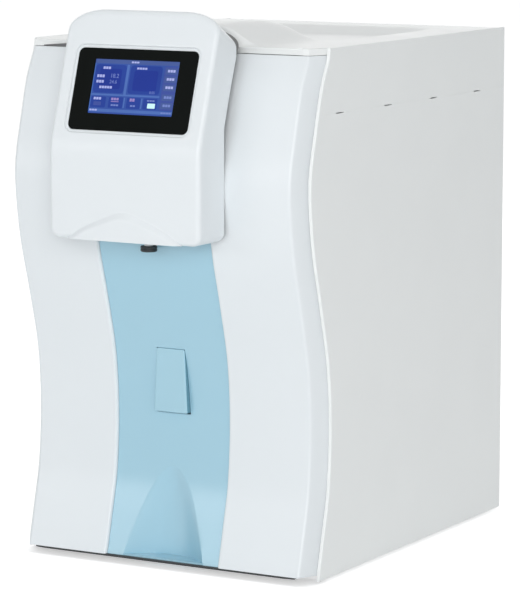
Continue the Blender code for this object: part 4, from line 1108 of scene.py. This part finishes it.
display = {"z": 0.4795, "bezel": (0.134, 0.081), "corner": 0.006, "recess": 0.001,
           "bezelWall": 0.0015, "bezelBreak": 0.00035, "screen": (0.09504, 0.05386),
           "screenRise": 0.003, "screenCorner": 0.0008, "spare": 0.0003, "toolLength": 0.012,
           "toolStart": -0.008, "screenToolLength": 0.006, "screenToolStart": -0.002,
           "recessProfile": ((-0.0021, 0.0022), (-0.0020, 0.0027), (-0.0017, 0.0030),
                             (-0.0006, 0.0034), (-0.00015, 0.0037), (0.00002, 0.0042),
                             (0.0003, 0.0050), (0.006, 0.0060))}
tiltTurn = (math.radians(90) - head["tilt"], 0, 0)


def displayPlace(out=0.0):
    # The display's middle, moved outwards from the tilted face
    face = head["frontY"] + (display["z"] - head["bendZ"]) * math.tan(head["tilt"])
    turn = Matrix.Rotation(tiltTurn[0], 3, "X")
    return Vector((0, face, display["z"])) + turn @ Vector((0, 0, out))


def recessCutter():
    rings = [[Vector((x, y, height)) for x, y in
              roundedCorners(*grown(display["bezel"], margin), display["corner"] + margin, 8)]
             for height, margin in display["recessProfile"]]
    return stand(drawLoft("recessCutter", rings), displayPlace(), tiltTurn)


def makeHeadSeal():
    # Grey lip seal round the rear of the head, thicker where the head leans off the body, where
    # it also paints the shade of the gap behind the head's top
    outer = headRing(seal["inset"])
    inner = headRing(seal["inset"] + seal["width"])
    rings = []
    for ring, back in ((outer, 0), (outer, 1), (inner, 1), (inner, 0)):
        points = []
        for (x, z), (_, level) in zip(ring, outer):
            share = smoothStep((level - seal["low"]) / (seal["high"] - seal["low"]))
            depth = seal["depth"] + seal["shadeExtra"] * share
            points.append(Vector((x, headRearLine(level) + seal["gap"] + depth * back,
                                  headRearHeight(z))))
        rings.append(points)
    piece = drawLoft("headSeal", rings, False)
    dress(smoothen(piece, 40), sealAndPaintedShade)


def makeHead():
    piece = makeHeadShell()
    window = slab("displayWindow", grown(display["bezel"], display["spare"]), display["corner"],
                  display["toolLength"], displayPlace(display["toolStart"]), tiltTurn, steps=8)
    cutWith(piece, recessCutter(), window)
    dress(smoothen(piece, 33), whiteShell, "head_shell")


makeHead()
makeHeadSeal()
print("head shell made")

# Low arch moulded over the outlet

arch = {"points": ((0.0628, 0.3358), (0.055, 0.3412), (0.0495, 0.3448), (0.043, 0.3482),
                   (0.0345, 0.3520), (0.026, 0.3553), (0.018, 0.3584), (0.0105, 0.3612),
                   (0.0045, 0.3628), (0, 0.3632)),
        "foot": 0.33475, "footSpread": 0.0022,
        "rings": ((0, -0.006), (0, 0.00002), (0.0006, 0.00015), (0.0022, 0.0009),
                  (0.0046, 0.0024), (0.0062, 0.0031), (0.0078, 0.0035), (0.0096, 0.0037))}


def archRing(inset, out):
    # Outline drawn in towards the middle of its foot, which keeps the rings from crossing
    right = [(arch["points"][0][0] + arch["footSpread"], arch["foot"])] + list(arch["points"])
    line = right + mirrored(right[:-1])
    narrow = 1 - inset / right[0][0]
    low = 1 - inset / (right[-1][1] - arch["foot"])
    return [Vector((x * narrow, arch["foot"] + (z - arch["foot"]) * low, out)) for x, z in line]


def makeArch():
    piece = drawLoft("headArch", [archRing(inset, out) for inset, out in arch["rings"]])
    stand(piece, (0, head["frontY"], 0), forward)
    dress(smoothen(piece, 30), whiteShell)


def makeBezel():
    piece = slab("displayBezel", display["bezel"], display["corner"], display["bezelWall"],
                 steps=10)
    cutWith(piece, slab("screenWindow", display["screen"], display["screenCorner"],
                        display["screenToolLength"],
                        (0, display["screenRise"], display["screenToolStart"])))
    breakEdges(piece, display["bezelBreak"], steps=3)
    stand(piece, displayPlace(-display["recess"] - display["bezelWall"]), tiltTurn)
    dress(smoothen(piece, 30), blackBezel, "display_bezel")


makeArch()
makeBezel()
print("bezel made")

# The lit screen. Fields and bars are in thousandths of its width and of its height from the
# top. The marks are plain bars and figures, with no words.

screen = {
    "border": 0.003, "wall": 0.004, "rimBreak": 0.0004, "level": -0.0028, "lift": 0.00002,
    "tile": 0.00006, "pitch": 1.5, "corner": (0.02, 0.10), "barLevel": 4, "figureLevel": 5,
    "barWidth": 26, "barPitch": 0.031,
    "fields": (
        ("Blue", 0, 0, 1000, 1000, 0), ("Strip", 0, 0, 1000, 75, 1),
        ("Deep", 16, 95, 380, 615, 1), ("Deep", 430, 95, 805, 615, 1),
        # The two thin Edge fields down the screen's far left and right sides paint a highlight
        # along the glass's edges
        ("Edge", 0, 75, 10, 910, 1), ("Edge", 988, 75, 1000, 910, 1),
        ("Night", 70, 170, 330, 540, 2), ("Night", 480, 180, 760, 560, 2),
        ("Edge", 385, 85, 415, 640, 1), ("Plum", 830, 90, 990, 890, 1),
        ("Edge", 0, 634, 815, 664, 2), ("Deep", 15, 685, 190, 885, 1),
        ("Deep", 225, 685, 395, 885, 1), ("Deep", 440, 685, 600, 885, 1),
        ("Deep", 635, 685, 800, 885, 1), ("Edge", 402, 690, 418, 880, 2),
        ("Edge", 610, 690, 622, 880, 2), ("Edge", 0, 910, 1000, 965, 1),
        ("Strip", 845, 120, 980, 235, 2), ("Strip", 845, 270, 980, 385, 2),
        ("Strip", 845, 420, 980, 535, 2), ("Strip", 845, 600, 980, 715, 2),
        ("Strip", 845, 750, 980, 865, 2), ("Bright", 690, 775, 780, 865, 3),
        ("Plum", 50, 780, 140, 850, 2), ("Rose", 255, 762, 345, 776, 3),
    ),
    "bars": (
        ("White", 430, 25, 3, 30), ("White", 105, 135, 3, 45), ("White", 45, 285, 3, 50),
        ("White", 45, 385, 3, 50), ("White", 90, 490, 5, 45), ("White", 505, 130, 4, 35),
        ("White", 870, 150, 3, 45), ("White", 870, 300, 3, 45), ("White", 870, 450, 3, 45),
        ("Pale", 870, 630, 3, 45), ("Pale", 870, 780, 3, 45), ("White", 45, 700, 3, 45),
        ("Rose", 255, 700, 3, 45), ("Rose", 475, 700, 2, 55), ("Pale", 680, 715, 3, 25),
        ("Pale", 260, 820, 3, 30), ("Pale", 490, 820, 2, 30), ("White", 15, 920, 3, 30),
        ("Pale", 860, 925, 4, 25),
    ),
    "figures": (("18.2", 200, 335, 0.0058), ("24.6", 200, 440, 0.0050),
                ("0.05", 690, 600, 0.0036)),
    "inks": {
        "Blue": ((0.030, 0.085, 0.380), (0.020, 0.065, 0.320)),
        "Deep": ((0.012, 0.050, 0.330), (0.006, 0.036, 0.280)),
        "Night": ((0.004, 0.030, 0.300), (0.003, 0.024, 0.260)),
        "Edge": ((0.075, 0.165, 0.500), (0.055, 0.130, 0.420)),
        "Strip": ((0.058, 0.105, 0.330), (0.046, 0.086, 0.290)),
        "Plum": ((0.045, 0.080, 0.350), (0.036, 0.066, 0.310)),
        "White": ((0.44, 0.48, 0.86), (0.36, 0.40, 0.78)),
        "Pale": ((0.19, 0.26, 0.62), (0.15, 0.21, 0.54)),
        "Rose": ((0.34, 0.25, 0.58), (0.28, 0.20, 0.50)),
        "Bright": ((0.66, 0.98, 1.00), (0.58, 0.90, 0.94)),
    },
}
screenInks = {name: glow("screen" + name, *tones) for name, tones in screen["inks"].items()}


def screenPoint(across, down):
    width, tall = display["screen"]
    return ((across / 1000 - 0.5) * width, (0.5 - down / 1000) * tall + display["screenRise"])


def screenTile(ink, left, top, right, foot, level):
    width, tall = display["screen"]
    size = ((right - left) / 1000 * width, (foot - top) / 1000 * tall)
    place = (*screenPoint((left + right) / 2, (top + foot) / 2),
             level * screen["tile"] * screen["pitch"])
    piece = slab("screenTile", size, min(size) * screen["corner"][min(level, 1)],
                 screen["tile"], place, steps=2)
    paint(piece, screenInks[ink])
    return piece


def screenBars(ink, left, top, count, height):
    first = screenTile(ink, left, top, left + screen["barWidth"], top + height,
                       screen["barLevel"])
    step = screen["barPitch"] * display["screen"][0]
    return [first] + [copyOf(first, "screenBar", (step * i, 0, 0)) for i in range(1, count)]


def screenFigures(text, across, down, size):
    putDown()
    bpy.ops.object.text_add()
    bpy.context.object.data.body = text
    bpy.context.object.data.size = size
    bpy.context.object.data.extrude = screen["tile"] / 2
    bpy.ops.object.convert(target="MESH")
    piece = bpy.context.object
    paint(piece, screenInks["Pale"])
    return stand(piece, (*screenPoint(across, down), screen["tile"] * screen["figureLevel"]))


def makeScreen():
    border, wall = screen["border"], screen["wall"]
    body = slab("screenPanel", grown(display["screen"], border), border, wall,
                (0, display["screenRise"], -wall), steps=5)
    breakEdges(body, screen["rimBreak"])
    stand(body, displayPlace(screen["level"]), tiltTurn)
    dress(smoothen(body, 30), darkPlastic, "lcd_panel")
    tiles = [screenTile(*field) for field in screen["fields"]]
    for bar in screen["bars"]:
        tiles += screenBars(*bar)
    tiles += [screenFigures(*figure) for figure in screen["figures"]]
    picture = gather("screenPicture", tiles)
    stand(picture, displayPlace(screen["level"] + screen["lift"]), tiltTurn)
    dress(picture, None)


makeScreen()
print("screen made")

# Outlet: dark tip under a white elbow whose stem runs back through the centre panel.
# Turned profiles hold radius and height in millimetres from here on.

outlet = {"y": -0.1997, "tipZ": 0.3203, "elbowZ": 0.3260, "stemStart": 0.0066,
          "stemRadius": 0.0045, "stemZ": 0.3291, "stemLength": 0.0274, "stemEdge": 0.0008,
          "tip": ((0, 7.6), (3.8, 7.6), (3.8, 5.6), (7.6, 5.6), (8.2, 5.0), (8.2, 3.6),
                  (7.9, 3.3), (7.9, 3.0), (8.2, 2.7), (8.2, 1.0), (7.9, 0.4), (7.2, 0),
                  (6.0, 0), (5.6, 0.4), (4.0, 0.4), (3.4, 0.1), (2.2, 0.1), (1.8, 0.5),
                  (1.8, 6.0), (0, 6.0)),
          "elbow": ((0, 8.2), (7.8, 8.2), (8.5, 7.9), (8.8, 7.2), (8.8, 4.2), (7.8, 3.2),
                    (5.4, 3.2), (4.4, 2.4), (4.4, 0.3), (4.1, 0), (3.9, 0), (3.9, 2.4),
                    (0, 2.4))}


def makeOutlet():
    tip = turned("outletTip", inMetres(outlet["tip"]), (0, outlet["y"], outlet["tipZ"]))
    dress(smoothen(tip, 35), tipPlastic, "outlet_nozzle")
    elbow = turned("outletElbow", inMetres(outlet["elbow"]), (0, outlet["y"], outlet["elbowZ"]))
    mergeWith(elbow, pin("outletStem", outlet["stemRadius"], outlet["stemLength"],
                         outlet["stemEdge"],
                         (0, outlet["y"] + outlet["stemStart"], outlet["stemZ"]), backward))
    dress(smoothen(elbow, 35), whiteFitting, "nozzle_elbow")


makeOutlet()

# Rubber feet

feet = {"x": 0.1357, "frontY": -0.1125, "rearY": 0.2045,
        "profile": ((0, 4.7), (11.6, 4.7), (12, 4.3), (12, 2.585), (11.4, 1.692), (9.65, 0.3),
                    (9.25, 0), (7.8, 0), (7.4, 0.7), (6.6, 0.7), (6.2, 0), (3.6, 0), (3.2, 1.2),
                    (0, 1.2))}


def makeFeet():
    first = smoothen(turned("rubberFoot", inMetres(feet["profile"]), steps=40), 35)
    for end, y in (("front", feet["frontY"]), ("rear", feet["rearY"])):
        for side, x in (("left", -feet["x"]), ("right", feet["x"])):
            piece = copyOf(first, f"rubberFoot{end.title()}{side.title()}", (x, y, 0))
            dress(piece, blackRubber, f"foot_{end}_{side}")
    bpy.data.objects.remove(first, do_unlink=True)


makeFeet()
print("outlet and feet made")

# Mains inlet

rear = {"x": 0.100, "flangeWall": 0.002, "toolLength": 0.03}
rearFace = case["rearY"] + case["gap"]
rearFlange = rearFace + rear["flangeWall"]

inlet = {"z": 0.063, "flange": (0.050, 0.026), "flangeCorner": 0.004, "flangeEdge": 0.0006,
         "socket": (0.0245, 0.0165), "chamfer": 0.0048, "socketDepth": 0.014,
         "collarRim": 0.0021, "collarCorner": 0.0035, "collarRise": 0.0008,
         "wall": 0.00175, "bodyCorner": 0.0022, "depth": 0.022, "lap": 0.001,
         "rimBreak": 0.0003, "blade": (0.002, 0.004), "bladeLength": 0.0095,
         "bladePitch": 0.007, "bladeRise": 0.002, "bladeEdge": 0.0003}


def makeInlet():
    flange = rear["flangeWall"]
    piece = slab("mainsInlet", inlet["flange"], inlet["flangeCorner"], flange, steps=6)
    bevelTop(piece, flange, inlet["flangeEdge"], steps=3)
    collar = slab("inletCollar", grown(inlet["socket"], inlet["collarRim"]),
                  inlet["collarCorner"], flange + inlet["collarRise"], steps=5)
    body = slab("inletBody", grown(inlet["socket"], inlet["wall"]), inlet["bodyCorner"],
                inlet["depth"] - inlet["lap"], (0, 0, flange - inlet["depth"]), steps=4)
    mergeWith(piece, collar, body)
    wide, tall = inlet["socket"][0] / 2, inlet["socket"][1] / 2
    chamfer = inlet["chamfer"]
    socket = plate("inletSocket", [(-wide, -tall), (wide, -tall), (wide, tall - chamfer),
                                   (wide - chamfer, tall), (-wide + chamfer, tall),
                                   (-wide, tall - chamfer)], rear["toolLength"],
                   (0, 0, flange - inlet["socketDepth"]))
    cutWith(piece, socket)
    breakEdges(piece, inlet["rimBreak"], angle=55)
    stand(piece, (rear["x"], rearFace, inlet["z"]), backward)
    dress(smoothen(piece, 30), darkPlastic, "mains_inlet")
    blades = []
    for side, rise in ((-1, -1), (0, 1), (1, -1)):
        blade = slab("inletBlade", inlet["blade"], inlet["bladeEdge"], inlet["bladeLength"],
                     steps=2)
        breakEdges(blade, inlet["bladeEdge"])
        blades.append(stand(blade, (rear["x"] + side * inlet["bladePitch"],
                                    rearFlange - inlet["socketDepth"] - inlet["lap"],
                                    inlet["z"] + rise * inlet["bladeRise"]), backward))
    piece = gather("inletBlade0", blades)
    dress(smoothen(piece, 30), bladeMetal)


makeInlet()

# Mains switch: two faces dished to the middle, and a round back about the axle

rocker = {"z": 0.113, "width": 0.014, "half": 0.0095, "dish": math.radians(9), "rise": 0.0025,
          "sink": 0.004, "gap": 0.0006, "housingWall": 0.002, "rim": 0.004, "depth": 0.018,
          "frameCorner": 0.0022, "frameEdge": 0.0008, "bodyCorner": 0.0008,
          "cavityCorner": 0.0006, "rimBreak": 0.0002, "lap": 0.001, "edge": 0.0005,
          "faceShares": (0, 0.2, 0.4, 0.6, 0.8, 1), "facePower": 1.35, "axle": 0.0012,
          "mark": (0.0009, 0.0042), "markCorner": 0.0003, "markWall": 0.00016,
          "markRing": (0.0015, 0.0022), "markShare": 0.55, "markLean": 1.08,
          "markLift": 0.00004}


def makeSwitch():
    lip = rocker["rise"] + rocker["half"] * math.tan(rocker["dish"])
    reach = math.hypot(lip, rocker["half"])
    opening = grown((rocker["width"], 2 * reach), rocker["gap"])
    flange, bottom = rear["flangeWall"], rear["flangeWall"] - rocker["depth"]
    housing = slab("switchFrame", grown(opening, rocker["rim"]), rocker["frameCorner"],
                   flange, steps=5)
    bevelTop(housing, flange, rocker["frameEdge"], steps=4)
    mergeWith(housing, slab("switchBody", grown(opening, rocker["housingWall"]),
                            rocker["bodyCorner"], rocker["depth"] - rocker["lap"],
                            (0, 0, bottom)))
    cutWith(housing, slab("switchCavity", opening, rocker["cavityCorner"],
                          rear["toolLength"], (0, 0, bottom + rocker["housingWall"])))
    stand(housing, (rear["x"], rearFace, rocker["z"]), backward)
    breakEdges(housing, rocker["rimBreak"])
    dress(smoothen(housing, 30), darkPlastic, "switch_housing")

    def faceRise(share):
        return rocker["rise"] + (lip - rocker["rise"]) * share ** rocker["facePower"]

    corner = math.atan2(rocker["half"], lip)
    face = [(faceRise(share), rocker["half"] * share) for share in rocker["faceShares"]]
    outline = face + arcPoints((0, 0), (reach, reach), corner, 2 * math.pi - corner, 28)[1:-1]
    outline += [(out, -up) for out, up in reversed(face[1:])]
    piece = plate("powerRocker", outline, rocker["width"])
    breakEdges(piece, rocker["edge"], steps=3, angle=40)
    stand(piece, (-rocker["width"] / 2, 0, 0), onSide)
    radius, length = rocker["axle"], opening[0] + 2 * rocker["lap"]
    mergeWith(piece, turned("rockerAxle", [(0, 0), (radius, 0), (radius, length), (0, length)],
                            (-length / 2, 0, 0), rightward, steps=24))
    place = (rear["x"], rearFlange - rocker["sink"], rocker["z"])
    stand(piece, place, (rocker["dish"], 0, 0))
    dress(smoothen(piece, 30), darkPlastic, "power_rocker", "rocker")

    # On and off marks, laid on the two faces
    wall, (inner, outer) = rocker["markWall"], rocker["markRing"]
    out = faceRise(rocker["markShare"]) + rocker["markLift"]
    half, lean = rocker["half"] * rocker["markShare"], rocker["dish"] * rocker["markLean"]
    bar = slab("markOn", rocker["mark"], rocker["markCorner"], wall, (0, out, half),
               (backward[0] - lean, 0, 0))
    ring = turned("markOff", [(inner, 0), (outer, 0), (outer, wall), (inner, wall), (inner, 0)],
                  (0, out, -half), (backward[0] + lean, 0, 0), steps=32)
    marks = stand(gather("rockerMarks", [bar, ring]), place, (rocker["dish"], 0, 0))
    dress(marks, whiteFitting, None, "rocker")


makeSwitch()

# Hose ports

ports = {"x": {"feed": -0.130, "drain": -0.094}, "z": 0.029, "bore": 0.0018,
         "boreLength": 0.012, "boreStart": 0.003,
         "profile": ((0, 11), (1.8, 11), (3.5, 11), (4.1, 10.6), (4.5, 9.0), (3.9, 8.8),
                     (4.5, 6.6), (3.9, 6.4), (4.5, 4.4), (3.9, 4.2), (3.9, 3.1), (7.2, 3.1),
                     (7.6, 2.7), (7.6, 2.1), (9.4, 1.9), (10, 1.4), (10, 0.3), (9.7, 0), (6, 0),
                     (6, -8), (4.5, -8), (4.5, -16), (0, -16))}


def makePorts():
    for use, x in ports["x"].items():
        piece = turned(f"hose{use.title()}Port", inMetres(ports["profile"]),
                       (x, rearFace, ports["z"]), backward)
        cutWith(piece, rod("portBore", ports["bore"], ports["boreLength"],
                           (x, rearFace + ports["boreStart"], ports["z"]), backward, steps=28))
        dress(smoothen(piece, 35), whiteFitting, f"{use}_port")


makePorts()

# Screws and vent hoods of the rear panel

screw = {"radius": 0.0028, "height": 0.0013, "x": 0.156, "levels": (0.030, 0.185, 0.340, 0.495),
         "inletX": 0.0200, "lap": 0.00005, "crossLong": 0.62, "crossWide": 0.14,
         "crossFloor": 0.45, "dome": ((0, 1), (0.35, 0.96), (0.68, 0.78), (0.90, 0.45),
                                      (1, 0.12), (1, 0), (0, 0))}
hood = {"half": 0.047, "tall": 0.0042, "out": 0.0026, "rows": 8, "wall": 0.0006,
        "ends": ((0, 0), (0.0015, 0.55), (0.004, 0.9), (0.008, 1.0)),
        "foot": 0.3336, "pitch": 0.009, "count": 8}


def makeScrews():
    # Low domed heads with a cross recess
    radius, height = screw["radius"], screw["height"]
    first = turned("rearScrew", [(radius * across, height * up) for across, up in screw["dome"]],
                   steps=28)
    long, wide = radius * screw["crossLong"], radius * screw["crossWide"]
    for x, y in ((long, wide), (wide, long)):
        cutWith(first, block("crossSlot", (-x, -y, height * screw["crossFloor"]),
                             (x, y, height * 2)))
    smoothen(first, 30)
    places = [(x, case["rearY"] + screw["lap"], z) for x in (-screw["x"], screw["x"])
              for z in screw["levels"]]
    places += [(rear["x"] + side * screw["inletX"], rearFlange - 2 * screw["lap"], inlet["z"])
               for side in (-1, 1)]
    copies = [stand(copyOf(first, "rearScrew"), place, backward) for place in places]
    bpy.data.objects.remove(first, do_unlink=True)
    dress(gather("rearScrews", copies), brightSteel)


def makeHoods():
    # A pressed hood, an eyelid over each vent
    left = [(-hood["half"] + inset, height) for inset, height in hood["ends"]]
    columns = left + mirrored(left)
    rows = []
    for share in levels(0, 1, hood["rows"]):
        out = hood["out"] * math.sin(math.pi / 2 * (1 - share))
        rows.append([Vector((-x, out * height, hood["tall"] * share)) for x, height in columns])
    first = drawRows("ventHood", rows)
    faceOut(lambda middle: middle.z < hood["tall"] / 2, (0, 1, 0))
    giveWall(first, hood["wall"])
    smoothen(first, 40)
    copies = [copyOf(first, "ventHood", (0, case["rearY"], hood["foot"] + hood["pitch"] * i))
              for i in range(hood["count"])]
    bpy.data.objects.remove(first, do_unlink=True)
    dress(gather("ventHoods", copies), rearEnamel)


makeScrews()
makeHoods()
print("rear made")

# Solids that keep their shape get their finishes

nodeFinishes = (
    (rearEnamel, ("rear_panel",)),
    (chassisSteel, ("base_pan", "front_bulkhead", "cartridge_rack", "head_arm", "lever_bracket",
                    "pump_motor", "power_supply")),
    (brightSteel, ("lever_pivot_pin", "lever_spring", "uv_lamp_chamber")),
    (boardGreen, ("display_board", "control_board")),
    (whiteFitting, ("switch_plunger",)),
    (greyFitting, ("inlet_valve", "flush_valve")),
    (filterWhite, ("sediment_cartridge", "carbon_cartridge", "ro_membrane_housing",
                   "polishing_column_1", "polishing_column_2", "final_filter")),
)


def finishSolids():
    # What is in no group is a tube, or else dark
    finishes = {name: material for material, names in nodeFinishes for name in names}
    for name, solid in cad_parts.items():
        if not solid.hide_render:
            paint(solid, finishes.get(name, tubeWhite if "tube" in name else darkPlastic))


finishSolids()
print("solids finished")

# Floor: plain and pale, white by its own glow where nothing shades it, with less glow round the
# object's foot as painted shade

floor = {"reach": 14.0, "cells": 8, "tone": 0.93, "lift": 0.62, "liftPaintedShade": 0.42,
         "liftStart": -0.004, "liftEnd": 0.008, "middle": (0.0, 0.034), "half": (0.169, 0.2125)}
studio = {"tone": (0.97, 0.985, 1.0), "strength": 0.44}


def seenDirectly(tree):
    # True of a ray that comes from the camera, or from it by way of a mirror or glass
    rays = node(tree, "ShaderNodeLightPath").outputs
    seen = mathNode(tree, "MAXIMUM", rays["Is Camera Ray"], rays["Is Glossy Ray"])
    return mathNode(tree, "MAXIMUM", seen, rays["Is Transmission Ray"])


def floorLift(tree):
    # How much of the lift the floor has at a place: least under the object, all beside it, so a
    # band round the foot is painted darker as contact shade
    parts = feed(tree, node(tree, "ShaderNodeSeparateXYZ"), {0: objectPlace(tree)}).outputs
    sides = []
    for axis, middle, half in zip(("X", "Y"), floor["middle"], floor["half"]):
        away = mathNode(tree, "ABSOLUTE", mathNode(tree, "SUBTRACT", parts[axis], middle))
        away = mathNode(tree, "MAXIMUM", mathNode(tree, "SUBTRACT", away, half), 0.0)
        sides.append(mathNode(tree, "MULTIPLY", away, away))
    reach = mathNode(tree, "SQRT", mathNode(tree, "ADD", *sides))
    return spread(tree, reach, floor["liftPaintedShade"], floor["lift"], floor["liftStart"],
                  floor["liftEnd"], "SMOOTHSTEP")


def makeFloor():
    putDown()
    bpy.ops.mesh.primitive_grid_add(x_subdivisions=floor["cells"],
                                    y_subdivisions=floor["cells"], size=2 * floor["reach"])
    piece = rename(bpy.context.object, "paleFloor")
    material, tree, shader = startMaterial("paleFloor", roughness=1, specular=0)
    glowing = mathNode(tree, "MULTIPLY", seenDirectly(tree), floorLift(tree))
    feed(tree, shader, {"Base Color": (floor["tone"],) * 3, "Emission Color": (1, 1, 1),
                        "Emission Strength": glowing})
    paint(piece, material)


def setWorld():
    world = bpy.data.worlds.new("paleStudio")
    bpy.context.scene.world = world
    world.use_nodes = True
    tree = world.node_tree
    tree.nodes.clear()
    shine = feed(tree, node(tree, "ShaderNodeBackground"), {"Color": (1, 1, 1)})
    soft = feed(tree, node(tree, "ShaderNodeBackground"),
                {"Color": studio["tone"], "Strength": studio["strength"]})
    mix = feed(tree, node(tree, "ShaderNodeMixShader"),
               {0: seenDirectly(tree), 1: soft.outputs[0], 2: shine.outputs[0]})
    feed(tree, node(tree, "ShaderNodeOutputWorld"), {"Surface": mix.outputs[0]})


makeFloor()
setWorld()
bpy.context.scene.view_settings.view_transform = "Standard"
